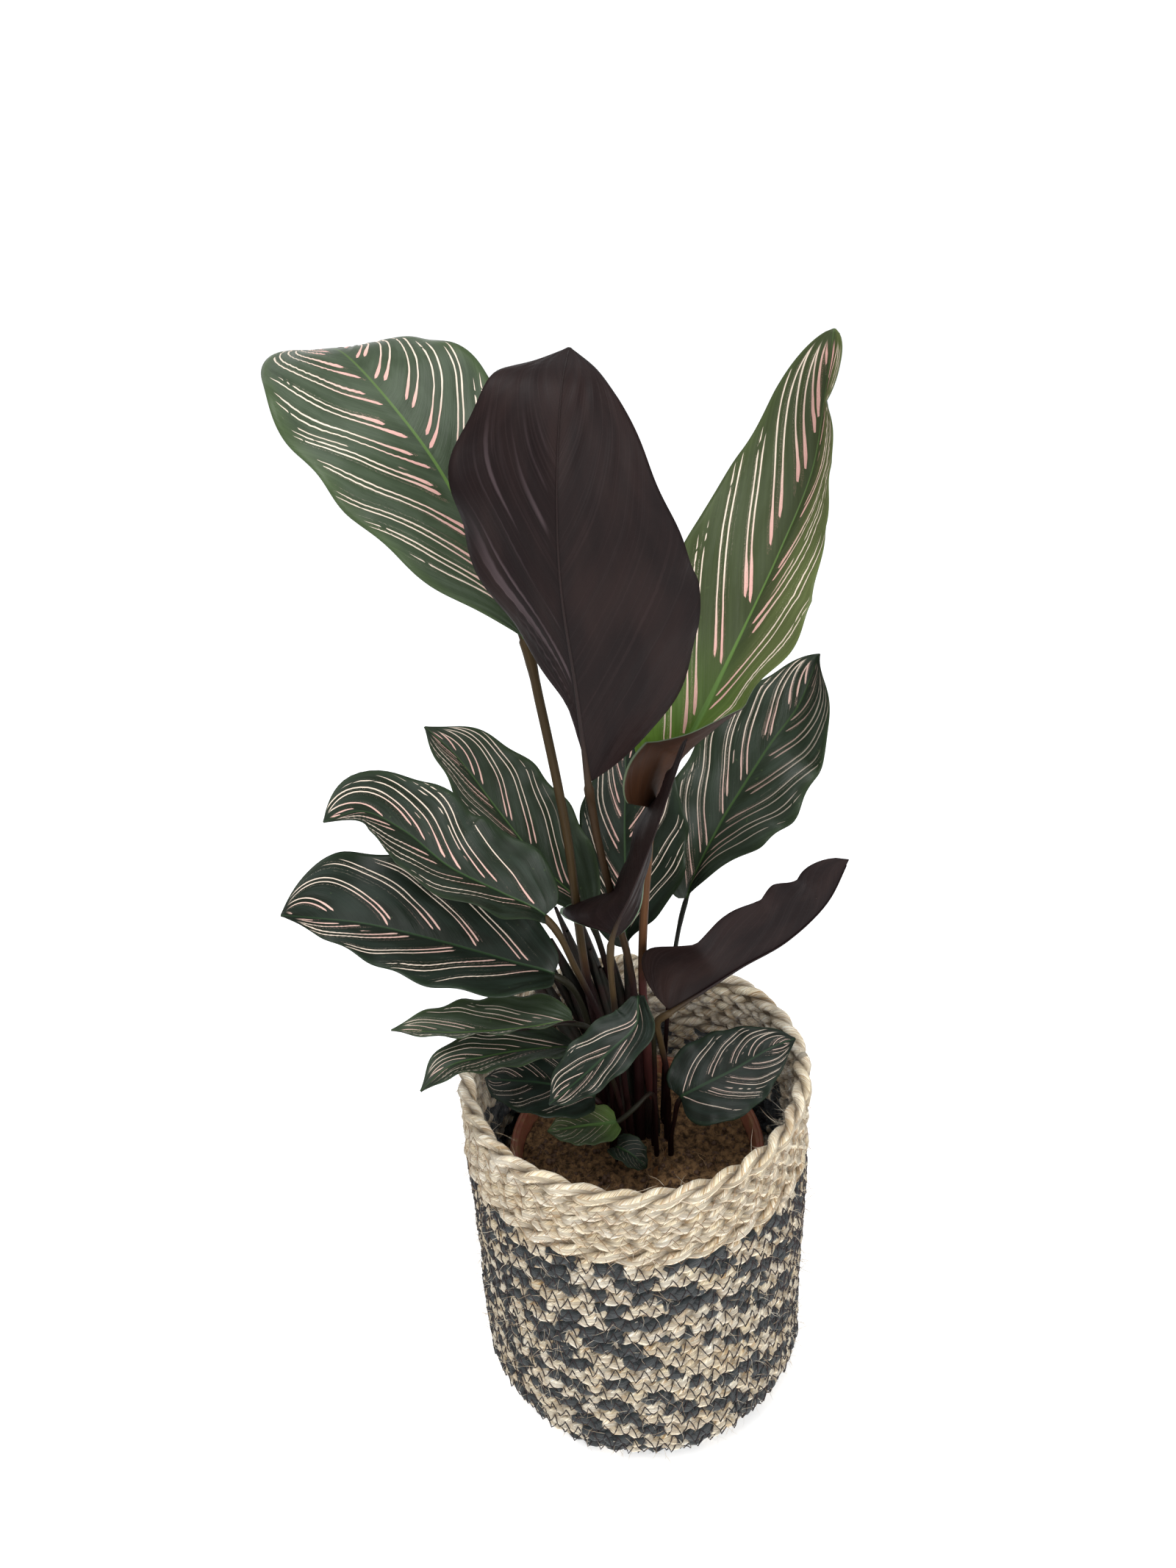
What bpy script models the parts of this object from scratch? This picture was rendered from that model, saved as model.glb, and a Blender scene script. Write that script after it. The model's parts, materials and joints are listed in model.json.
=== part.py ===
"""Pinstripe calathea in a nursery pot, standing in a coiled jute basket.

Metres, +Z up. The origin is the centre of the basket's underside, and -Y is the plant's front.
Each leaf is one grown piece: a stalk that rises from the soil and runs on as the blade's midrib.
"""

import math
from dataclasses import dataclass

import bmesh
import bpy
import numpy as np

# Clearance between neighbouring pieces that touch
GAP = 0.0003

# Basket of coiled jute rows
BASKET_RADIUS = 0.105
ROW_PITCH = 0.0109
ROW_COUNT = 22
BAND_ROWS = 5
ROPE_RADIUS = 0.0055
LOW_ROW_INSETS = (0.0110, 0.0036)
WALL_STEPS = 32
BAND_STEPS = 48
STRAND_RELIEF = 0.0006
BASE_THICKNESS = 0.0100
BASE_CHAMFER = 0.0015

# Clear plastic film that lines the basket
LINER_THICKNESS = 0.0007
LINER_TOP = 0.2310
LINER_FOOT_INSET = 0.0020
LINER_STEPS = 32

# Nursery pot
POT_RIM_RADIUS = 0.0785
POT_RIM_TOP = 0.1740
POT_RIM_HEIGHT = 0.0110
POT_RIM_LIP = 0.0035
POT_RIM_ROUND = 0.0012
POT_FOOT_RADIUS = 0.0560
POT_FOOT_RING = 0.0040
POT_FOOT_HEIGHT = 0.0025
POT_WALL = 0.0016
POT_STEPS = 32
DRAIN_HOLE_RADIUS = 0.0040
DRAIN_HOLE_CIRCLE = 0.0340
DRAIN_HOLE_COUNT = 6

# Coir in the pot
SOIL_LEVEL = 0.1620
SOIL_MOUND = 0.0060
CROWN = (0.005, 0.010)
SOIL_ROUGHNESS = 0.0010
SOIL_RINGS = (0.0, 0.22, 0.45, 0.68, 0.86)
SOIL_STEPS = 28
ROOT_DEPTH = 0.0100
STRAIGHT_FOOT = 0.0160

# Blade and stalk sections
BLADE_THICKNESS = 0.0008
BASE_ROUNDNESS = 2.2
TIP_FULLNESS = 0.92
TIP_HALF_WIDTH = 0.0009
FIRST_STATION = 0.012
KEEL_SHARE = 0.09
KEEL_TAPER = 0.75
FIRST_STRIP_SHARE = 0.30
WAVE_IN_PLANE = 0.5
RIGHT_WAVE_PHASE = 0.37
CURL_SAMPLES = 41
STALK_SIDES = 6
STALK_STEP = 0.030
STALK_END = 0.003
SHEATH_STEP = 0.006
SHEATH_END_SHARE = 1.25
PATH_POINTS = 24

SHARP_EDGE = math.radians(40)


@dataclass
class Leaf:
    """One leaf. Pairs are for the left and right half of the blade, seen on its upper side, tip up.

    Folds say how far a half stands up from flat beside the midrib, and curls how much further it
    bends by its margin. Both are in degrees, at even steps from the blade's base to its tip.
    """

    root: tuple  # where the stalk leaves the soil, x and y
    stalk: list  # points that the stalk passes
    midrib: list  # points of the midrib, from the blade's base to its tip
    face: tuple  # directions that the upper side faces, at the base and at the tip
    half_width: tuple
    widest: tuple = (0.40, 0.40)  # share of the length at which each half is widest
    base_taper: tuple = (0.52, 0.52)  # 0.5 is a round base, and over 1 a wedge
    tip_taper: tuple = (2.4, 2.4)  # 1.5 is a long thin tip, and 3 a blunt one
    left: tuple = (30, 20, 15)
    right: tuple = (30, 20, 15)
    left_curl: tuple = (0, 0)
    right_curl: tuple = (0, 0)
    lobe: tuple = (0.006, 0.006)  # how far the base reaches back past the stalk
    lobe_length: float = 0.4  # share of the blade over which that reach dies away
    wave: float = 0.0020  # height of the margin's waves
    wave_count: float = 4.5
    wave_phase: float = 0.0
    stations: int = 13
    strips: int = 8
    sheath: tuple = (0.0026, 0.050)  # radius of the sheathed foot of the stalk, and its length
    stalk_radius: float = 0.0018


LEAVES = {
    "leaf_upper_left": Leaf(
        root=(-0.009, 0.019),
        stalk=[(-0.025, 0.008, 0.300), (-0.031, 0.010, 0.395), (-0.040, 0.015, 0.467)],
        midrib=[
            (-0.046, 0.020, 0.502),
            (-0.064, 0.028, 0.547),
            (-0.081, 0.040, 0.583),
            (-0.101, 0.057, 0.609),
            (-0.127, 0.086, 0.631),
            (-0.147, 0.125, 0.628),
        ],
        face=((0.12, -0.95, 0.25), (0.25, -0.35, 0.90)),
        half_width=(0.054, 0.048),
        widest=(0.60, 0.55),
        base_taper=(1.20, 0.8),
        left=(15, 6, 0, -5),
        right=(15, 8, 5, -5),
        wave=0.0025,
        stations=17,
        sheath=(0.0038, 0.125),
        stalk_radius=0.0025,
    ),
    "leaf_tall_dark": Leaf(
        root=(0.003, 0.007),
        stalk=[(0.001, 0.000, 0.300), (-0.009, -0.003, 0.374), (-0.013, -0.014, 0.418)],
        midrib=[
            (-0.018, -0.038, 0.450),
            (-0.021, -0.054, 0.505),
            (-0.025, -0.064, 0.560),
            (-0.024, -0.065, 0.600),
            (-0.020, -0.052, 0.634),
            (-0.016, -0.022, 0.645),
        ],
        face=((-0.05, 1.00, -0.20), (0.00, 0.75, -0.60)),
        half_width=(0.059, 0.041),
        widest=(0.40, 0.66),
        base_taper=(1.0, 4.2),
        tip_taper=(1.9, 3.0),
        lobe=(0.008, 0.0),
        left=(25, 10, 5, 5),
        right=(30, 12, 8, 5),
        wave=0.0040,
        wave_count=3.3,
        wave_phase=0.55,
        stations=17,
        sheath=(0.0036, 0.110),
        stalk_radius=0.0021,
    ),
    "leaf_upper_right": Leaf(
        root=(0.011, 0.013),
        stalk=[(0.007, 0.002, 0.300), (0.011, -0.003, 0.375)],
        midrib=[
            (0.016, -0.002, 0.413),
            (0.038, 0.006, 0.454),
            (0.062, 0.026, 0.492),
            (0.085, 0.042, 0.533),
            (0.102, 0.055, 0.569),
            (0.108, 0.062, 0.603),
            (0.111, 0.063, 0.634),
        ],
        face=((-0.35, -0.85, 0.40), (-0.35, -0.90, 0.20)),
        half_width=(0.046, 0.041),
        widest=(0.42, 0.45),
        base_taper=(0.50, 0.25),
        tip_taper=(4.0, 2.6),
        left=(50, 15, 5, 5, 5),
        right=(55, 10, 25, 42, 50, 55, 60, 64, 68),
        left_curl=(30, 0, 0, 0, 0),
        right_curl=(200, 185, 60, 0, 0, 0, 0, 0, 0),
        lobe=(0.006, -0.045),
        lobe_length=0.15,
        wave=0.0025,
        stations=17,
        sheath=(0.0036, 0.120),
        stalk_radius=0.0024,
    ),
    "leaf_right_middle": Leaf(
        root=(0.019, 0.022),
        stalk=[(0.024, 0.036, 0.250)],
        midrib=[
            (0.037, 0.050, 0.319),
            (0.058, 0.058, 0.365),
            (0.071, 0.062, 0.386),
            (0.088, 0.068, 0.411),
            (0.104, 0.075, 0.430),
            (0.117, 0.085, 0.457),
        ],
        face=((-0.25, -0.85, 0.45), (-0.25, -0.85, 0.45)),
        half_width=(0.036, 0.033),
        widest=(0.45, 0.47),
        base_taper=(0.52, 0.70),
        left=(60, 15, 5, 5),
        right=(60, 20, 12, 10),
        stations=14,
        stalk_radius=0.0014,
    ),
    "leaf_right_dark": Leaf(
        root=(0.020, 0.006),
        stalk=[(0.019, -0.008, 0.235), (0.0155, -0.021, 0.272), (0.0165, -0.0245, 0.288)],
        midrib=[
            (0.020, -0.025, 0.296),
            (0.041, -0.018, 0.305),
            (0.062, -0.010, 0.313),
            (0.088, 0.000, 0.321),
            (0.112, 0.011, 0.338),
            (0.125, 0.020, 0.360),
        ],
        face=((-0.20, 0.95, 0.10), (-0.30, 0.90, 0.30)),
        half_width=(0.026, 0.039),
        widest=(0.35, 0.24),
        base_taper=(0.52, 0.10),
        tip_taper=(2.4, 5.0),
        left=(85, 80, 75),
        right=(0, 5, 5),
        lobe=(0.004, 0.006),
        stations=13,
    ),
    "leaf_centre_funnel": Leaf(
        root=(-0.003, 0.001),
        stalk=[(-0.006, -0.014, 0.235), (-0.010, -0.028, 0.300)],
        midrib=[
            (-0.010, -0.036, 0.355),
            (0.001, -0.040, 0.387),
            (0.011, -0.042, 0.416),
            (0.022, -0.042, 0.450),
            (0.030, -0.034, 0.469),
        ],
        face=((0.20, 0.86, -0.12), (-0.20, 0.90, -0.10)),
        half_width=(0.024, 0.032),
        widest=(0.30, 0.15),
        tip_taper=(2.4, 1.4),
        left=(80, 80, 80, 70),
        right=(5, 62, 68, 68, 60),
        right_curl=(20, 20, 0),
        lobe=(0.006, 0.015),
        stations=12,
    ),
    "leaf_centre_back": Leaf(
        root=(0.009, 0.027),
        stalk=[(0.004, 0.036, 0.235)],
        midrib=[
            (0.000, 0.044, 0.289),
            (0.001, 0.050, 0.333),
            (0.002, 0.058, 0.368),
            (0.004, 0.066, 0.398),
            (0.005, 0.076, 0.424),
        ],
        face=((0.00, -0.90, 0.40), (0.00, -0.90, 0.40)),
        half_width=(0.030, 0.036),
        stations=12,
    ),
    "leaf_left_back": Leaf(
        root=(-0.003, 0.029),
        stalk=[(-0.010, 0.026, 0.270)],
        midrib=[
            (-0.024, 0.024, 0.333),
            (-0.046, 0.035, 0.356),
            (-0.071, 0.050, 0.388),
            (-0.092, 0.066, 0.414),
            (-0.110, 0.080, 0.427),
        ],
        face=((0.20, -0.50, 0.85), (0.20, -0.60, 0.80)),
        half_width=(0.027, 0.034),
        left=(35, 35, 30),
        right=(50, 25, 12),
        stations=13,
    ),
    "leaf_left_middle": Leaf(
        root=(-0.010, 0.007),
        stalk=[(-0.013, 0.000, 0.250), (-0.030, -0.008, 0.315)],
        midrib=[
            (-0.045, -0.011, 0.355),
            (-0.067, -0.008, 0.369),
            (-0.094, -0.004, 0.385),
            (-0.116, 0.002, 0.405),
            (-0.136, 0.002, 0.418),
            (-0.154, -0.010, 0.420),
        ],
        face=((0.15, -0.40, 0.90), (0.00, -0.50, 0.85)),
        half_width=(0.030, 0.032),
        widest=(0.35, 0.35),
        tip_taper=(2.4, 3.6),
        lobe=(0.006, 0.012),
        left=(40, 35, 30),
        right=(30, 15, 10),
        stations=14,
        stalk_radius=0.0019,
    ),
    "leaf_left_low": Leaf(
        root=(-0.017, 0.012),
        stalk=[(-0.022, 0.003, 0.240), (-0.031, -0.010, 0.300)],
        midrib=[
            (-0.042, -0.017, 0.320),
            (-0.063, -0.014, 0.327),
            (-0.103, -0.006, 0.338),
            (-0.143, 0.000, 0.348),
            (-0.166, 0.000, 0.353),
            (-0.187, -0.006, 0.361),
        ],
        face=((0.20, -0.45, 0.87), (0.10, -0.45, 0.87)),
        half_width=(0.032, 0.041),
        widest=(0.38, 0.60),
        tip_taper=(1.7, 4.0),
        left=(25, 15, 15),
        right=(25, 15, 15),
        stations=14,
    ),
    "leaf_left_rim_upper": Leaf(
        root=(-0.015, 0.001),
        stalk=[(-0.014, -0.007, 0.230), (-0.019, -0.022, 0.277)],
        midrib=[
            (-0.033, -0.034, 0.300),
            (-0.060, -0.037, 0.300),
            (-0.096, -0.040, 0.302),
            (-0.130, -0.042, 0.308),
        ],
        face=((0.00, -0.10, 1.00), (0.00, -0.20, 1.00)),
        half_width=(0.020, 0.022),
        left=(45, 45, 40),
        right=(15, 10, 10),
        stations=10,
        strips=6,
        sheath=(0.0020, 0.040),
        stalk_radius=0.0014,
        wave=0.0015,
    ),
    "leaf_left_rim_lower": Leaf(
        root=(-0.007, -0.005),
        stalk=[(-0.009, -0.015, 0.218), (-0.018, -0.027, 0.262)],
        midrib=[
            (-0.033, -0.034, 0.281),
            (-0.057, -0.042, 0.289),
            (-0.080, -0.050, 0.293),
            (-0.099, -0.058, 0.295),
            (-0.114, -0.068, 0.288),
        ],
        face=((0.00, -0.10, 1.00), (-0.20, -0.40, 0.90)),
        half_width=(0.016, 0.017),
        left=(30, 25, 25),
        right=(10, 10, 10),
        stations=10,
        strips=6,
        sheath=(0.0020, 0.030),
        stalk_radius=0.0014,
        wave=0.0015,
    ),
    "leaf_inside_left": Leaf(
        root=(-0.012, -0.009),
        stalk=[(-0.015, -0.013, 0.200)],
        midrib=[
            (-0.024, -0.016, 0.227),
            (-0.038, -0.016, 0.235),
            (-0.057, -0.015, 0.240),
            (-0.074, -0.012, 0.240),
            (-0.088, -0.006, 0.237),
        ],
        face=((0.00, -0.30, 0.95), (0.00, -0.30, 0.95)),
        half_width=(0.022, 0.022),
        left=(15, 5, 5),
        right=(20, 15, 10),
        stations=10,
        strips=6,
        sheath=(0.0019, 0.020),
        stalk_radius=0.0014,
        wave=0.0012,
    ),
    "leaf_front_small": Leaf(
        root=(0.011, 0.000),
        stalk=[(0.012, -0.010, 0.240), (0.009, -0.030, 0.296)],
        midrib=[
            (0.003, -0.037, 0.318),
            (0.001, -0.045, 0.306),
            (-0.014, -0.054, 0.296),
            (-0.032, -0.060, 0.282),
            (-0.048, -0.062, 0.268),
        ],
        face=((-0.40, -0.75, 0.50), (-0.40, -0.65, 0.60)),
        half_width=(0.0145, 0.017),
        widest=(0.40, 0.50),
        base_taper=(0.52, 0.90),
        stations=11,
        strips=6,
        sheath=(0.0019, 0.040),
        stalk_radius=0.0014,
        wave=0.0015,
    ),
    "leaf_right_small": Leaf(
        root=(0.021, -0.005),
        stalk=[(0.023, -0.014, 0.205)],
        midrib=[
            (0.026, -0.021, 0.228),
            (0.036, -0.020, 0.234),
            (0.058, -0.014, 0.241),
            (0.081, -0.008, 0.251),
            (0.095, -0.004, 0.253),
        ],
        face=((-0.10, -0.55, 0.83), (-0.10, -0.55, 0.83)),
        half_width=(0.025, 0.026),
        lobe=(0.010, 0.010),
        left=(20, 10, 10),
        right=(10, 5, 5),
        stations=11,
        strips=6,
        sheath=(0.0019, 0.020),
        stalk_radius=0.0014,
        wave=0.0012,
    ),
    "leaf_front_low": Leaf(
        root=(0.012, -0.007),
        stalk=[(0.009, -0.014, 0.226), (0.000, -0.021, 0.223)],
        midrib=[(-0.012, -0.026, 0.217), (-0.030, -0.031, 0.220), (-0.052, -0.036, 0.222)],
        face=((0.10, -0.30, 0.95), (0.10, -0.30, 0.95)),
        half_width=(0.013, 0.013),
        left=(10, 5, 5),
        right=(10, 5, 5),
        stations=9,
        strips=6,
        sheath=(0.0018, 0.015),
        stalk_radius=0.0013,
        wave=0.0010,
    ),
    "leaf_front_hanging": Leaf(
        root=(-0.002, -0.012),
        stalk=[(-0.008, -0.020, 0.190)],
        midrib=[(-0.013, -0.031, 0.202), (-0.005, -0.038, 0.203), (0.004, -0.042, 0.195)],
        face=((0.00, -0.30, 0.95), (0.30, -0.30, 0.90)),
        half_width=(0.010, 0.010),
        stations=9,
        strips=6,
        sheath=(0.0018, 0.010),
        stalk_radius=0.0013,
        wave=0.0010,
    ),
}

MATERIALS = {
    "jute_natural": ((0.62, 0.50, 0.33), 0.90),
    "jute_dyed": ((0.030, 0.036, 0.045), 0.90),
    "liner_film": ((0.70, 0.72, 0.74), 0.25),
    "pot_plastic": ((0.42, 0.13, 0.07), 0.45),
    "coir": ((0.10, 0.055, 0.030), 1.00),
    "leaf": ((0.022, 0.060, 0.030), 0.40),
    "leaf_underside": ((0.045, 0.018, 0.024), 0.55),
}
DARK_SIDE_OUT = ("leaf_tall_dark", "leaf_right_dark", "leaf_centre_funnel")


# Small helpers


def material(name):
    """The named material, made when it is first asked for."""
    made = bpy.data.materials.get(name)
    if made is None:
        colour, roughness = MATERIALS[name]
        made = bpy.data.materials.new(name)
        made.use_nodes = True
        shader = made.node_tree.nodes["Principled BSDF"]
        shader.inputs["Base Color"].default_value = (*colour, 1.0)
        shader.inputs["Roughness"].default_value = roughness
        shader.inputs["Metallic"].default_value = 0.0
    return made


def add_object(name, mesh, slot):
    """Links a mesh to the scene as a named sub-part, shaded smooth, in its material."""
    part = bpy.data.objects.new(name, mesh)
    bpy.context.scene.collection.objects.link(part)
    mesh.materials.append(material(slot))
    mesh.shade_smooth()
    mesh.set_sharp_from_angle(angle=SHARP_EDGE)
    return part


def applied(part):
    """Replaces the object's mesh with its evaluated one, and returns it."""
    graph = bpy.context.evaluated_depsgraph_get()
    mesh = bpy.data.meshes.new_from_object(part.evaluated_get(graph))
    part.modifiers.clear()
    part.data = mesh
    mesh.shade_smooth()
    mesh.set_sharp_from_angle(angle=SHARP_EDGE)
    return mesh


def turned(name, profile, steps, slot):
    """A solid turned about Z from (radius, height) points, which run down its outer side.

    The points make a closed loop, unless the first and the last of them lie on the axis.
    """
    mesh = bpy.data.meshes.new(name)
    shape = bmesh.new()
    points = [shape.verts.new((radius, 0.0, height)) for radius, height in profile]
    on_axis = profile[0][0] == 0.0 and profile[-1][0] == 0.0
    onward = points[1:] if on_axis else points[1:] + points[:1]
    for first, second in zip(points, onward):
        shape.edges.new((first, second))
    shape.to_mesh(mesh)
    shape.free()
    part = add_object(name, mesh, slot)
    screw = part.modifiers.new("Turn", "SCREW")
    screw.steps = steps
    screw.render_steps = steps
    screw.use_merge_vertices = True
    screw.merge_threshold = 0.00001
    applied(part)
    return part


def cut(part, cutters):
    """Takes the cutters' shapes out of a part and removes them."""
    holder = bpy.data.collections.new("cutters")
    for cutter in cutters:
        holder.objects.link(cutter)
    boolean = part.modifiers.new("Holes", "BOOLEAN")
    boolean.operation = "DIFFERENCE"
    boolean.operand_type = "COLLECTION"
    boolean.collection = holder
    boolean.solver = "EXACT"
    applied(part)
    for cutter in cutters:
        bpy.data.objects.remove(cutter)
    bpy.data.collections.remove(holder)


def prism(radius, low, high, x, y):
    """An upright eight-sided prism, for use as a cutter."""
    mesh = bpy.data.meshes.new("cutter")
    shape = bmesh.new()
    bmesh.ops.create_cone(
        shape,
        cap_ends=True,
        segments=8,
        radius1=radius,
        radius2=radius,
        depth=high - low,
    )
    shape.to_mesh(mesh)
    shape.free()
    part = bpy.data.objects.new("cutter", mesh)
    part.location = (x, y, (low + high) / 2)
    part.hide_render = True
    part.display_type = "WIRE"
    bpy.context.scene.collection.objects.link(part)
    return part


# Basket


def row_height(row):
    return ROPE_RADIUS + ROW_PITCH * row


def row_radius(row):
    """Distance from the axis to the middle of a row. The lowest rows step in to meet the base."""
    inset = LOW_ROW_INSETS[row] if row < len(LOW_ROW_INSETS) else 0.0
    return BASKET_RADIUS - ROPE_RADIUS - inset


def coil_profile(rows):
    """Outline of a stack of rope rows: a rounded bump for each row outside, and a plain wall inside."""
    bump = [math.radians(a) for a in (52, 0, -52)]
    outer = []
    for row in reversed(rows):
        centre, height = row_radius(row), row_height(row)
        outer += [(centre + ROPE_RADIUS * math.cos(a), height + ROPE_RADIUS * math.sin(a)) for a in bump]
    low, high = rows[0], rows[-1]
    bottom = (row_radius(low), row_height(low) - ROPE_RADIUS)
    top = (row_radius(high), row_height(high) + ROPE_RADIUS)
    if low > 0:
        bottom = (bottom[0], bottom[1] + GAP)
        outer[-1] = (outer[-1][0], max(outer[-1][1], bottom[1] + GAP))
    stepped = [row for row in rows[1:-1] if row <= len(LOW_ROW_INSETS)]
    inner = [(row_radius(row) - ROPE_RADIUS, row_height(row)) for row in (low, *stepped, high)]
    return [top, *outer, bottom, *inner]


def add_strand_relief(part, steps):
    """Raises and sinks every other step of each row, as the plait's strands do."""
    for point in part.data.vertices:
        radius = math.hypot(point.co.x, point.co.y)
        step = round(math.atan2(point.co.y, point.co.x) / (2 * math.pi) * steps)
        row = round((point.co.z - ROPE_RADIUS) / ROW_PITCH)
        if radius < row_radius(row) + ROPE_RADIUS / 2:
            continue
        side = 1 if (step + row) % 2 else -1
        scale = 1 + side * STRAND_RELIEF / 2 / radius
        point.co.x *= scale
        point.co.y *= scale


def make_basket():
    wall_rows = list(range(ROW_COUNT - BAND_ROWS))
    band_rows = list(range(ROW_COUNT - BAND_ROWS, ROW_COUNT))
    wall = turned("basket_wall", coil_profile(wall_rows), WALL_STEPS, "jute_dyed")
    add_strand_relief(wall, WALL_STEPS)
    band = turned("basket_band", coil_profile(band_rows), BAND_STEPS, "jute_natural")
    add_strand_relief(band, BAND_STEPS)
    edge = row_radius(0) - ROPE_RADIUS - 2 * GAP
    profile = [
        (0.0, BASE_THICKNESS),
        (edge - BASE_CHAMFER, BASE_THICKNESS),
        (edge, BASE_THICKNESS - BASE_CHAMFER),
        (edge, BASE_CHAMFER),
        (edge - BASE_CHAMFER, 0.0),
        (0.0, 0.0),
    ]
    turned("basket_base", profile, WALL_STEPS, "jute_dyed")


# Liner, nursery pot and coir


def make_liner():
    """A thin cup of clear film that follows the inside of the basket."""
    wall = BASKET_RADIUS - 2 * ROPE_RADIUS - 2 * GAP
    floor = BASE_THICKNESS + GAP
    corner = wall - LOW_ROW_INSETS[0] - LINER_FOOT_INSET
    shoulder = row_height(2)
    film = LINER_THICKNESS
    inner = [
        (0.0, floor + film),
        (corner - film / 2, floor + film),
        (wall - film, shoulder + film / 2),
        (wall - film, LINER_TOP),
    ]
    outer = [(wall, LINER_TOP), (wall, shoulder), (corner, floor), (0.0, floor)]
    turned("liner", inner + outer, LINER_STEPS, "liner_film")


def pot_low():
    """Height of the pot's underside, on the liner."""
    return BASE_THICKNESS + LINER_THICKNESS + 2 * GAP


def pot_floor():
    """Height of the floor inside the pot."""
    return pot_low() + POT_FOOT_HEIGHT + POT_WALL


def pot_inner_radius(height):
    """Radius of the pot's inside at a height."""
    share = (height - pot_low()) / (POT_RIM_TOP - pot_low())
    return POT_FOOT_RADIUS + (POT_RIM_RADIUS - POT_RIM_LIP - POT_FOOT_RADIUS) * share - POT_WALL


def make_pot():
    low, floor = pot_low(), pot_floor()
    rim_low = POT_RIM_TOP - POT_RIM_HEIGHT
    inner_top = POT_RIM_TOP - POT_RIM_ROUND
    ring = POT_FOOT_RADIUS - POT_FOOT_RING
    inner = [
        (0.0, floor),
        (pot_inner_radius(floor), floor),
        (pot_inner_radius(inner_top), inner_top),
        (pot_inner_radius(POT_RIM_TOP) + POT_RIM_ROUND, POT_RIM_TOP),
    ]
    outer = [
        (POT_RIM_RADIUS - POT_RIM_ROUND, POT_RIM_TOP),
        (POT_RIM_RADIUS, inner_top),
        (POT_RIM_RADIUS, rim_low),
        (pot_inner_radius(rim_low) + POT_WALL, rim_low + GAP),
        (POT_FOOT_RADIUS, low),
        (ring, low),
        (ring - POT_WALL, low + POT_FOOT_HEIGHT),
        (0.0, low + POT_FOOT_HEIGHT),
    ]
    pot = turned("nursery_pot", inner + outer, POT_STEPS, "pot_plastic")
    cutters = []
    for k in range(DRAIN_HOLE_COUNT):
        turn = 2 * math.pi * (k + 0.5) / DRAIN_HOLE_COUNT
        x, y = DRAIN_HOLE_CIRCLE * math.cos(turn), DRAIN_HOLE_CIRCLE * math.sin(turn)
        cutters.append(prism(DRAIN_HOLE_RADIUS, low, floor + POT_WALL, x, y))
    cut(pot, cutters)


def soil_height(x, y):
    """The coir's surface: a low mound round the crown, roughened by crossed waves."""
    share = math.hypot(x - CROWN[0], y - CROWN[1]) / POT_RIM_RADIUS
    rough = math.sin(310 * x + 1.3) * math.sin(270 * y) + 0.6 * math.sin(520 * y + 410 * x)
    return SOIL_LEVEL + SOIL_MOUND * max(0.0, 1 - share) + SOIL_ROUGHNESS * rough


def make_soil():
    low = pot_floor() + GAP
    edge = pot_inner_radius(SOIL_LEVEL) - 2 * GAP
    foot = pot_inner_radius(low) - 2 * GAP
    surface = [(edge * share, SOIL_LEVEL) for share in SOIL_RINGS]
    profile = [*surface, (edge, SOIL_LEVEL), (foot, low), (0.0, low)]
    soil = turned("soil", profile, SOIL_STEPS, "coir")
    inner_edge = edge * (SOIL_RINGS[-1] + 1) / 2
    for point in soil.data.vertices:
        if point.co.z > SOIL_LEVEL - GAP and math.hypot(point.co.x, point.co.y) < inner_edge:
            point.co.z = soil_height(point.co.x, point.co.y)
    cutters = []
    for leaf in LEAVES.values():
        radius = (leaf.sheath[0] + 2 * GAP) / math.cos(math.pi / 8)
        bottom = SOIL_LEVEL - ROOT_DEPTH - GAP
        cutters.append(prism(radius, bottom, SOIL_LEVEL + 2 * SOIL_MOUND, *leaf.root))
    cut(soil, cutters)


# Leaves


def smooth_path(points, count_per_span):
    """Points on a centripetal curve through the given points, and the index of each given point."""
    given = np.array(points, float)
    padded = np.vstack([2 * given[0] - given[1], given, 2 * given[-1] - given[-2]])
    made, marks = [], []
    for k in range(len(given) - 1):
        a, b, c, d = padded[k : k + 4]
        knots = [0.0]
        for first, second in ((a, b), (b, c), (c, d)):
            knots.append(knots[-1] + max(np.linalg.norm(second - first), 1e-6) ** 0.5)
        marks.append(len(made))
        for t in np.linspace(knots[1], knots[2], count_per_span, endpoint=False):
            ab = (knots[1] - t) / (knots[1] - knots[0]) * a + (t - knots[0]) / (knots[1] - knots[0]) * b
            bc = (knots[2] - t) / (knots[2] - knots[1]) * b + (t - knots[1]) / (knots[2] - knots[1]) * c
            cd = (knots[3] - t) / (knots[3] - knots[2]) * c + (t - knots[2]) / (knots[3] - knots[2]) * d
            abc = (knots[2] - t) / (knots[2] - knots[0]) * ab + (t - knots[0]) / (knots[2] - knots[0]) * bc
            bcd = (knots[3] - t) / (knots[3] - knots[1]) * bc + (t - knots[1]) / (knots[3] - knots[1]) * cd
            share = (t - knots[1]) / (knots[2] - knots[1])
            made.append((1 - share) * abc + share * bcd)
    marks.append(len(made))
    made.append(given[-1])
    return np.array(made), marks


def lengths_along(path):
    return np.concatenate([[0.0], np.cumsum(np.linalg.norm(np.diff(path, axis=0), axis=1))])


def resampled(path, at):
    """Points of a path at the given distances along it."""
    along = lengths_along(path)
    return np.stack([np.interp(at, along, path[:, axis]) for axis in range(3)], 1)


def unit(vectors):
    return vectors / np.linalg.norm(vectors, axis=-1, keepdims=True)


def tangents_of(path):
    return unit(np.gradient(path, axis=0))


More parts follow.
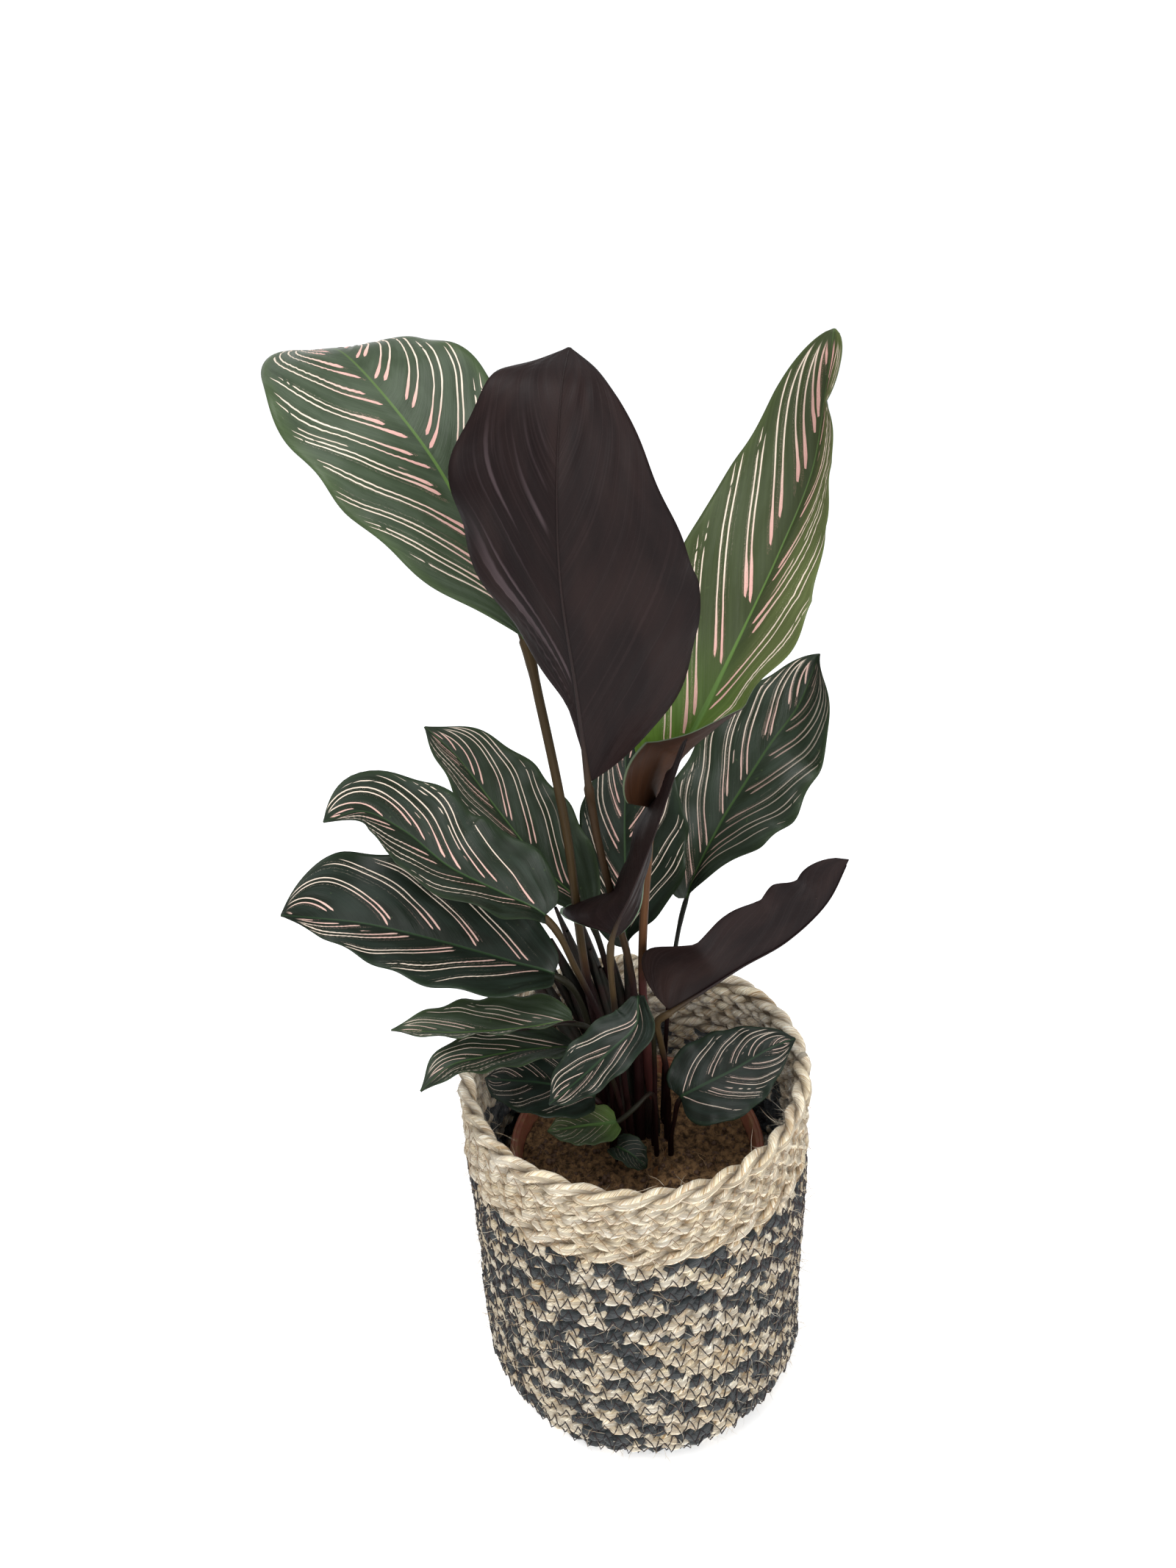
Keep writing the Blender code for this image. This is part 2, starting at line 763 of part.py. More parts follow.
def leaf_paths(leaf):
    """Finely spaced points of the stalk and of the midrib, on one smooth curve."""
    x, y = leaf.root
    heights = (-ROOT_DEPTH, 0.0, STRAIGHT_FOOT / 2, STRAIGHT_FOOT)
    foot = [(x, y, SOIL_LEVEL + height) for height in heights]
    points = foot + leaf.stalk + leaf.midrib
    path, marks = smooth_path(points, PATH_POINTS)
    base = marks[len(foot) + len(leaf.stalk)]
    return path[: base + 1], path[base:]


def width_share(s, widest, base_taper, tip_taper):
    """Half width along the blade as a share of the greatest."""
    low = np.clip(s / widest, 0, 1)
    high = np.clip((s - widest) / (1 - widest), 0, 1)
    base = np.clip(1 - (1 - low) ** BASE_ROUNDNESS, 0, 1) ** base_taper
    tip = np.clip(1 - high**tip_taper, 0, 1) ** TIP_FULLNESS
    return np.where(s < widest, base, tip)


def spread(values, s):
    """Values given at even steps from base to tip, read at each s."""
    return np.interp(s, np.linspace(0, 1, len(values)), values)


def blade_surface(leaf, midrib, s, t):
    """Points and normals of the blade's middle surface, for s from base to tip and t from left to right."""
    along = lengths_along(midrib)
    spine = resampled(midrib, s * along[-1])
    tangent = unit(
        np.stack([np.interp(s * along[-1], along, tangents_of(midrib)[:, axis]) for axis in range(3)], 1)
    )
    face = (1 - s)[:, None] * np.array(leaf.face[0]) + s[:, None] * np.array(leaf.face[1])
    side = unit(np.cross(tangent, face))
    up = np.cross(side, tangent)
    points = np.empty((len(s), len(t), 3))
    points[:] = spine[:, None, :]
    fine = np.linspace(0, 1, CURL_SAMPLES)
    step = fine[1]
    halves = ((-1, 0, leaf.left, leaf.left_curl, 0.0), (1, 1, leaf.right, leaf.right_curl, RIGHT_WAVE_PHASE))
    for sign, half, folds, curls, phase in halves:
        share = width_share(s, leaf.widest[half], leaf.base_taper[half], leaf.tip_taper[half])
        width = np.maximum(leaf.half_width[half] * share, TIP_HALF_WIDTH)
        angle = np.radians(spread(folds, s)[:, None] + spread(curls, s)[:, None] * fine[None, :])
        across = np.concatenate([np.zeros((len(s), 1)), np.cumsum(np.cos(angle[:, 1:]), 1) * step], 1)
        rise = np.concatenate([np.zeros((len(s), 1)), np.cumsum(np.sin(angle[:, 1:]), 1) * step], 1)
        turn = 2 * np.pi * (leaf.wave_count * s + leaf.wave_phase + phase)
        height = leaf.wave * np.sqrt(share) * np.sin(turn)
        ruffle = WAVE_IN_PLANE * leaf.wave * np.sqrt(share) * np.cos(turn)
        back = leaf.lobe[half] * share * np.clip(1 - s / leaf.lobe_length, 0, 1)
        for column in np.where(np.sign(t) == sign)[0]:
            reach = abs(t[column])
            out = np.array([np.interp(reach, fine, row) for row in across])
            lift = np.array([np.interp(reach, fine, row) for row in rise])
            points[:, column] += side * (sign * (width * out + ruffle * reach**2))[:, None]
            points[:, column] += up * (width * lift + height * reach**2)[:, None]
            points[:, column] -= tangent * (back * reach)[:, None]
    normal = unit(np.cross(np.gradient(points, axis=1), tangent[:, None, :]))
    return points, normal, up, side


def blade_rings(leaf, midrib, s, t):
    """Rings round the blade: over its upper face from left to right, and back along its lower face."""
    points, normal, up, side = blade_surface(leaf, midrib, s, t)
    taper = 1 - KEEL_TAPER * s
    keel = (leaf.stalk_radius * taper)[:, None] * np.clip(1 - np.abs(t) / KEEL_SHARE, 0, 1)[None, :]
    upper = points + normal * (BLADE_THICKNESS / 2)
    lower = points - normal * (BLADE_THICKNESS / 2 + keel)[..., None]
    return np.concatenate([upper, lower[:, ::-1]], 1), up, side


def stalk_rings(leaf, stalk, up, side):
    """Rings round the stalk, from the soil to just below the blade."""
    length = lengths_along(stalk)[-1] - STALK_END
    straight = ROOT_DEPTH + STRAIGHT_FOOT
    count = max(3, round((length - straight) / STALK_STEP) + 1)
    at = np.concatenate([[0.0], np.linspace(straight, length, count)])
    sheath_radius, sheath_length = leaf.sheath
    end = ROOT_DEPTH + sheath_length
    clear = at[np.abs(at - end) > 2 * SHEATH_STEP]
    at = np.sort(np.concatenate([clear, [end, end + SHEATH_STEP]]))
    at = at[at <= length]
    spine = resampled(stalk, at)
    along, directions = lengths_along(stalk), tangents_of(stalk)
    tangent = np.stack([np.interp(at, along, directions[:, axis]) for axis in range(3)], 1)
    across = unit(np.cross(np.cross(tangent, side[None, :]), tangent))
    over = np.cross(unit(tangent), across)
    slim = leaf.stalk_radius
    swell = sheath_radius - (sheath_radius - slim * SHEATH_END_SHARE) * np.clip(at / end, 0, 1)
    radius = np.where(at <= end + 1e-6, swell, slim)
    angles = np.linspace(0, 2 * np.pi, STALK_SIDES, endpoint=False) + np.pi / 2
    ring = (
        np.cos(angles)[None, :, None] * across[:, None, :] + np.sin(angles)[None, :, None] * over[:, None, :]
    )
    return spine[:, None, :] + ring * radius[:, None, None]


def zipped(first, second, side, up):
    """Triangles between two rings of different counts, each a list of (index, point)."""

    def turns_of(ring):
        """Each point's (angle about the ring's middle, index), in rising order from the smallest angle."""
        middle = np.mean([point for _, point in ring], axis=0)
        turns = [math.atan2(np.dot(p - middle, up), np.dot(p - middle, side)) for _, p in ring]
        if np.diff(np.unwrap(turns + turns[:1])).sum() < 0:
            ring, turns = ring[::-1], turns[::-1]
        start = int(np.argmin(turns))
        order = [(start + k) % len(ring) for k in range(len(ring))]
        found = [(turns[k], ring[k][0]) for k in order]
        return [*found, (found[0][0] + 2 * math.pi, found[0][1])]

    one, two = turns_of(first), turns_of(second)
    made, i, j = [], 0, 0
    while i < len(one) - 1 or j < len(two) - 1:
        if j == len(two) - 1 or (i < len(one) - 1 and one[i + 1][0] <= two[j + 1][0]):
            made.append((one[i][1], one[i + 1][1], two[j][1]))
            i += 1
        else:
            made.append((one[i][1], two[j + 1][1], two[j][1]))
            j += 1
    return made


def ring_faces(rings, start):
    """Triangles between rings of the same count, split alike on the blade's two faces."""
    made = []
    count, around = rings.shape[:2]
    half = around // 2
    for k in range(count - 1):
        for i in range(around):
            after = (i + 1) % around
            a, b = start + k * around + i, start + k * around + after
            c, d = a + around, b + around
            if i < half:
                made += [(a, b, c), (b, d, c)]
            else:
                made += [(a, b, d), (a, d, c)]
    return made


def make_leaf(name, leaf):
    stalk, midrib = leaf_paths(leaf)
    even = np.linspace(0, 1, leaf.stations)
    s = 0.55 * even + 0.45 * (0.5 - 0.5 * np.cos(np.pi * even))
    s = np.sort(np.concatenate([s, [FIRST_STATION]]))
    outer = np.linspace(FIRST_STRIP_SHARE, 1, leaf.strips // 2 - 1)
    t = np.concatenate([-outer[::-1], [-KEEL_SHARE, 0.0, KEEL_SHARE], outer])
    blade, up, side = blade_rings(leaf, midrib, s, t)
    tube = stalk_rings(leaf, stalk, up[0], side[0])
    points = np.concatenate([tube.reshape(-1, 3), blade.reshape(-1, 3)])
    offset = tube.shape[0] * tube.shape[1]
    faces = ring_faces(tube, 0) + ring_faces(blade, offset)
    last = [(len(tube) * STALK_SIDES - STALK_SIDES + k, tube[-1, k]) for k in range(STALK_SIDES)]
    first = [(offset + k, blade[0, k]) for k in range(blade.shape[1])]
    faces += zipped(last, first, side[0], up[0])
    faces.append(tuple(range(STALK_SIDES)))
    tip = offset + (len(s) - 1) * blade.shape[1]
    width = len(t)
    for k in range(width - 1):
        a, b = tip + k, tip + k + 1
        d, c = tip + 2 * width - 1 - k, tip + 2 * width - 2 - k
        faces += [(a, b, c), (a, c, d)]
    mesh = bpy.data.meshes.new(name)
    mesh.from_pydata([tuple(p) for p in points], [], faces)
    shape = bmesh.new()
    shape.from_mesh(mesh)
    bmesh.ops.recalc_face_normals(shape, faces=shape.faces)
    shape.to_mesh(mesh)
    shape.free()
    add_object(name, mesh, "leaf_underside" if name in DARK_SIDE_OUT else "leaf")


def clear_scene():
    for found in list(bpy.data.objects):
        bpy.data.objects.remove(found)


def main():
    clear_scene()
    make_basket()
    make_liner()
    make_pot()
    make_soil()
    for name, leaf in LEAVES.items():
        make_leaf(name, leaf)


main()
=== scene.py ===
"""Looks of the pinstripe calathea in its nursery pot and coiled jute basket.

Metres, +Z up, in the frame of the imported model. Leaf shapes repeat the part's own formulas at a finer step.
"""

import itertools
import json
import math
from dataclasses import dataclass, field

import bmesh
import bpy
import numpy as np
from mathutils import Matrix, Vector, noise
from mathutils.bvhtree import BVHTree

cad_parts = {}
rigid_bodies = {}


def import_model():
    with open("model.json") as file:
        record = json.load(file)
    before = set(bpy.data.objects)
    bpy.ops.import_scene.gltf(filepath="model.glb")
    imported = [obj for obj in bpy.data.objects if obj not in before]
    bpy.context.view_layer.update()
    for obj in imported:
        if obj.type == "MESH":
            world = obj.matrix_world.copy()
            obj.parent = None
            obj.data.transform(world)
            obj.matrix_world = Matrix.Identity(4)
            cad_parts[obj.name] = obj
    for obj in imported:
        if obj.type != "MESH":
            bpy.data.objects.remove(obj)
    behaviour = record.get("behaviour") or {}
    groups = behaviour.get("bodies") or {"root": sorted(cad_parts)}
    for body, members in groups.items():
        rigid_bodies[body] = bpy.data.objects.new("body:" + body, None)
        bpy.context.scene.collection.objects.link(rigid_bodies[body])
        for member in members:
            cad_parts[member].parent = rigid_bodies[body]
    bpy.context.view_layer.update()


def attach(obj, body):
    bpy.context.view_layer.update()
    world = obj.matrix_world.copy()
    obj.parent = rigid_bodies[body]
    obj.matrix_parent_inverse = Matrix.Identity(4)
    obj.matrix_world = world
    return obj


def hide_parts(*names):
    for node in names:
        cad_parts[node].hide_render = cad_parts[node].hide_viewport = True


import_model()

BODY = "root"
UP = np.array([0.0, 0.0, 1.0])

# Camera at the photograph's angle
PHOTO_SIZE = (1600, 2133)
FOCAL_PIXELS = 1602.0
SENSOR = 36.0
CAMERA_PLACE = (-0.018, -0.529, 0.724)
CAMERA_TILT = math.radians(29.2)
CAMERA_ROLL = math.radians(-3.1)
CLIP_START = 0.01

# Basket's rows and base
BASKET_RADIUS = 0.105
ROW_PITCH = 0.0109
ROW_COUNT = 22
BAND_ROWS = 5
FIRST_BAND_ROW = ROW_COUNT - BAND_ROWS
ROPE_RADIUS = 0.0055
ROW_RADIUS = BASKET_RADIUS - ROPE_RADIUS
INSIDE_RADIUS = ROW_RADIUS - ROPE_RADIUS
LOW_ROW_INSETS = (0.0110, 0.0036)
BASE_EDGE = 0.0824
BASE_THICKNESS = 0.0100
BASE_RINGS = 8
FLOOR_GAP = 0.0003
CORE_HALF = 0.0008
CORE_STEPS = 120
WOBBLE_UP = ((0.0008, 2, 0.21, 0.0), (0.0005, 5, -0.4, 1.0))  # size, waves round the row, drift, phase
WOBBLE_OUT = ((0.0006, 3, 0.5, 2.0), (0.0003, 8, -1.1, 0.0))

# Strands and their dye
STRAND_SLIP = 0.10
STRAND_STRAY = 0.00018
STRAND_UNEVENNESS = 0.045
STRAND_STEPS = 13
STRAND_SIDES = 8
YARN_TURNS = 60.0
DYE_PERIOD = 0.0506
DYE_SHARE = 0.49
DYE_SHARPNESS = 12.0
DYE_OFFSET = Vector((3.1, 1.7, 5.9))

# Stitches and loose fibres
THREAD_RADIUS = 0.00041
BAND_THREAD_RADIUS = 0.00022
STITCH_LENGTH = 0.0082
BAND_STITCH_LENGTH = 0.0125
THREAD_STEPS = 4
THREAD_BOW = 0.0006
THREAD_LOWEST = 0.0015
THREAD_SEAT = 0.6
STITCH_BELOW = 0.0050
STITCH_ABOVE = 0.0052
STITCH_JITTER = 0.22
STITCH_STRAY = 0.0007
FINDER_REACH = 0.03
FIBRE_RADIUS = 0.00012
FUZZ_COUNT = 4000
FUZZ_LENGTHS = (0.003, 0.010)
LONG_FUZZ = 0.010
FUZZ_ROOT = 0.0004
INNER_FUZZ_COUNT = 420
INNER_FUZZ_HEIGHTS = (0.185, 0.236)
INNER_FUZZ_LENGTHS = (0.006, 0.020)
HAIR_BEND = 0.28
HAIR_JITTER = 0.10
HAIR_HINT = (0.31, 0.52, 0.79)

# Liner
FILM_THICKNESS = 0.0004
LINER_GAP = 0.0006
LINER_TOP = 0.2310
LINER_ROWS = 44
LINER_STEPS = 200
CORNER_WIDTH = 0.0130
CORNER_HEIGHT = 0.0170
CREASE_DEPTH = 0.0016
CREASE_SWELL = 0.0008
CREASE_LIMIT = 0.0030
LINER_EDGE_DROP = 0.0012

# Pot
POT_STEPS = 96
POT_RIM_RADIUS = 0.0785
POT_RIM_TOP = 0.1740
POT_RIM_HEIGHT = 0.0110
POT_RIM_LIP = 0.0035
RIM_ROLL = 0.0014
POT_FOOT_RADIUS = 0.0560
POT_WALL = 0.0016
FOOT_RING_WIDTH = 0.0040
POT_FOOT_HEIGHT = 0.0025
POT_LOW = BASE_THICKNESS + 0.0013
POT_FLOOR = POT_LOW + POT_FOOT_HEIGHT + POT_WALL
DRAIN_HOLE_RADIUS = 0.0040
DRAIN_HOLE_CIRCLE = 0.0340
DRAIN_HOLE_COUNT = 6

# Coir and what stands in it
SOIL_LEVEL = 0.1620
SOIL_MOUND = 0.0060
SOIL_ROUGHNESS = 0.0010
SOIL_GAP = 0.0006
SOIL_EDGE_DROP = 0.0040
SOIL_RINGS = 100
SOIL_STEPS = 240
CRUMBLE = ((130.0, 0.0016), (330.0, 0.0010), (800.0, 0.0006))  # noise cells in a metre, and height
CLOD = (52.0, 0.0045)
CRUMB_COUNT = 900
CRUMB_SIZE = 0.0004
CRUMB_SPREAD = 0.0020
HUSK_COUNT = 240
HUSK_RADIUS = 0.00016
HUSK_LENGTHS = (0.005, 0.020)
CROWN = (0.005, 0.010)
DRY_SHEATH_COUNT = 7
DRY_SHEATH_STEPS = 9
DRY_SHEATH_REACH = (0.018, 0.032)
DRY_SHEATH_LENGTHS = (0.010, 0.024)
DRY_SHEATH_RADII = (0.0008, 0.0018)
SHOOT_COUNT = 17
SHOOT_STEPS = 18
SHOOT_FAN = 0.022
SHOOT_DEPTHS = (0.002, 0.020)
SHOOT_HEIGHTS = (0.085, 0.150)
SHOOT_TALLER_LEFT = 0.035
SHOOT_RADII = (0.0034, 0.0070)

# Blades
BLADE_THICKNESS = 0.0005
BLADE_COLUMNS = 22
STATION_STEP = 0.0022
STATION_CROWDING = 0.25
COLUMN_CROWDING = 1.25
CURL_SAMPLES = 41
PATH_POINTS = 24
BASE_ROUNDNESS = 2.2
TIP_HALF_WIDTH = 0.0006
WAVE_IN_PLANE = 0.5
RIGHT_WAVE_PHASE = 0.37
SIDE_SHIFT = 0.43
THIN_MARGIN = 0.04
MARGIN_SHARE = 0.15
RIB_HEIGHT = 0.0003
PLEAT_FADE = 0.25
PLEAT_START = 0.08
PLEAT_END = 0.12
VEIN_WANDER = 0.012

# Stalks and midribs
ROOT_DEPTH = 0.0100
STRAIGHT_FOOT = 0.0160
STALK_SIDES = 12
STALK_STEP = 0.004
RIB_BASE = 0.55
RIB_SHARE = 0.24
RIB_TIP_RADIUS = 0.0002
RIB_FADE = 0.15
RIB_SINK = 0.8
RIB_END = 0.985
PULVINUS_LENGTH = 0.020
PULVINUS_SWELL = 0.18
PULVINUS_RISE = 0.006
RUDDY_LENGTH = 0.035
RUDDY_FROM = 0.00185
SHEATH_LIP = 0.003
SHEATH_END_SHARE = 1.25
SHEATH_TINT_RISE = 0.062
SHEATH_TINT_FADE = 0.020
SHEATH_TINT_TOP = 0.316
TALL_STALK = 0.18

# Light and floor, with each light's place, size in metres and power in watts
LIGHTS = {"overhead_softbox": ((-0.5, -0.4, 2.2), 1.6, 38.0), "front_fill": ((0.9, -2.0, 1.1), 1.4, 41.0)}
LIGHT_TARGET = (0.0, 0.0, 0.35)
WORLD_STRENGTH = 0.63
FLOOR_GLOW = 0.35
BACKDROP_GLOW = 0.65
BACKDROP_HEIGHT = 3.0
WORLD_WHITE = (0.97, 0.985, 1.0)
FLOOR_HALF = 6.0

# Colours, as linear red, green and blue
DARK_GREEN = (0.0051, 0.0077, 0.0046)
MIDDLE_GREEN = (0.0301, 0.0456, 0.0227)
OLIVE_GREEN = (0.0398, 0.0474, 0.0146)
BLUE_GREEN = (0.0092, 0.0161, 0.0119)
LIGHT_GREEN = (0.0556, 0.0751, 0.0467)
EDGE_GREEN = (0.0115, 0.0221, 0.0102)
FRESH_GREEN = (0.0613, 0.0948, 0.0324)
GLOW_GREEN = (0.0919, 0.1134, 0.0365)
LIME = (0.085, 0.160, 0.020)
RIB_GREEN = (0.014, 0.030, 0.014)
RIB_PALE = (0.085, 0.155, 0.036)
STRIPE_PINK = (0.5888, 0.329, 0.2914)
STRIPE_CREAM = (0.644, 0.5358, 0.4418)
PURPLE_DARK = (0.0053, 0.0021, 0.0022)
PURPLE = (0.0119, 0.0057, 0.0052)
PURPLE_PALE = (0.034, 0.0224, 0.0224)
# Painted sheen on the leaf undersides
PAINTED_SHEEN = (0.0561, 0.04, 0.0432)
RUST = (0.0425, 0.016, 0.0056)
EDGE_PALE = (0.120, 0.180, 0.110)
STRAW = (0.8162, 0.6916, 0.4704)
STRAW_LIGHT = (0.980, 0.950, 0.860)
STRAW_SHADE = (0.513, 0.3328, 0.1568)
# Darkened jute of the wall's core: painted shade in the gaps between rows
CORE_DEEP_SHADE = (0.150, 0.112, 0.070)
CORE_SHADE = (0.260, 0.200, 0.130)
CHARCOAL = (0.014, 0.019, 0.021)
CHARCOAL_BLUE = (0.036, 0.047, 0.051)
THREAD_DARK = (0.014, 0.010, 0.012)
THREAD_BROWN = (0.040, 0.028, 0.028)
THREAD_TAN = (0.190, 0.110, 0.060)
FIBRE_PALE = (0.760, 0.690, 0.560)
FIBRE_TAN = (0.400, 0.290, 0.180)
COIR_DARK = (0.0324, 0.0164, 0.0081)
COIR_BROWN = (0.325, 0.1891, 0.0873)
COIR_RUST = (0.480, 0.290, 0.140)
POT_RED = (0.230, 0.072, 0.042)
POT_ORANGE = (0.360, 0.135, 0.080)
FILM_GREY = (0.560, 0.580, 0.600)
FILM_MILK = (0.850, 0.870, 0.900)
FLOOR_WHITE = (0.86, 0.86, 0.86)
FLOOR_SHADE = (0.83, 0.83, 0.83)
OLIVE_BROWN = (0.0384, 0.0235, 0.0089)
OLIVE_DARK = (0.0109, 0.0099, 0.0048)
ORANGE_BROWN = (0.087, 0.0374, 0.0146)
TAWNY = (0.0296, 0.0162, 0.0073)
GREY_GREEN = (0.0151, 0.0165, 0.0125)
DARK_RED = (0.0118, 0.0036, 0.0037)
PINK_RED = (0.0638, 0.0198, 0.0177)
# Young shoots: a dark colour of their own, darkened further as painted deep shade
SHADED_SHOOT_GREEN = (0.008, 0.009, 0.005)
SHADED_SHOOT_MAROON = (0.022, 0.009, 0.007)
HUSK_PALE = (0.420, 0.270, 0.140)
HUSK_TAN = (0.200, 0.110, 0.052)


def in_metres(value):
    """A length in millimetres, or a list of them, in metres."""
    return [in_metres(item) for item in value] if isinstance(value, (tuple, list)) else value / 1000


@dataclass
class Leaf:
    """One leaf. Pairs are for the left and right half of the blade, seen on its upper side, tip up.

    Folds say how far a half stands up from flat beside the midrib, and curls how much further it
    bends by its margin. Both are in degrees, at even steps from the blade's base to its tip.
    Lengths are given in millimetres and kept in metres.
    """

    root: tuple  # where the stalk leaves the soil, x and y
    stalk: list  # points that the stalk passes
    midrib: list  # points of the midrib, from the blade's base to its tip
    face: tuple  # directions that the upper side faces, at the base and at the tip
    half_width: tuple
    widest: tuple = (0.40, 0.40)  # share of the length at which each half is widest
    base_taper: tuple = (0.52, 0.52)  # 0.5 is a round base, and over 1 a wedge
    tip_taper: tuple = (2.4, 2.4)  # 1.5 is a long thin tip, and 3 a blunt one
    tip_fullness: float = 0.92  # 1 is a pointed tip, and 0.5 a round one
    left: tuple = (30, 20, 15)
    right: tuple = (30, 20, 15)
    left_curl: tuple = (0, 0)
    right_curl: tuple = (0, 0)
    lobe: tuple = (6, 6)  # how far the base reaches back past the stalk
    lobe_length: float = 0.4  # share of the blade over which that reach dies away
    wave: tuple = (2, 2)  # height of the margin's waves
    wave_count: float = 4.5
    wave_phase: float = 0.0
    straight_base: float = 0.0  # share of the blade whose direction leaves out the bend of the stalk
    sheath: tuple = (2.6, 50)  # radius of the sheathed foot of the stalk, and its length
    stalk_radius: float = 1.8

    def __post_init__(self):
        for name in ("root", "stalk", "midrib", "half_width", "lobe", "wave", "sheath", "stalk_radius"):
            setattr(self, name, in_metres(getattr(self, name)))


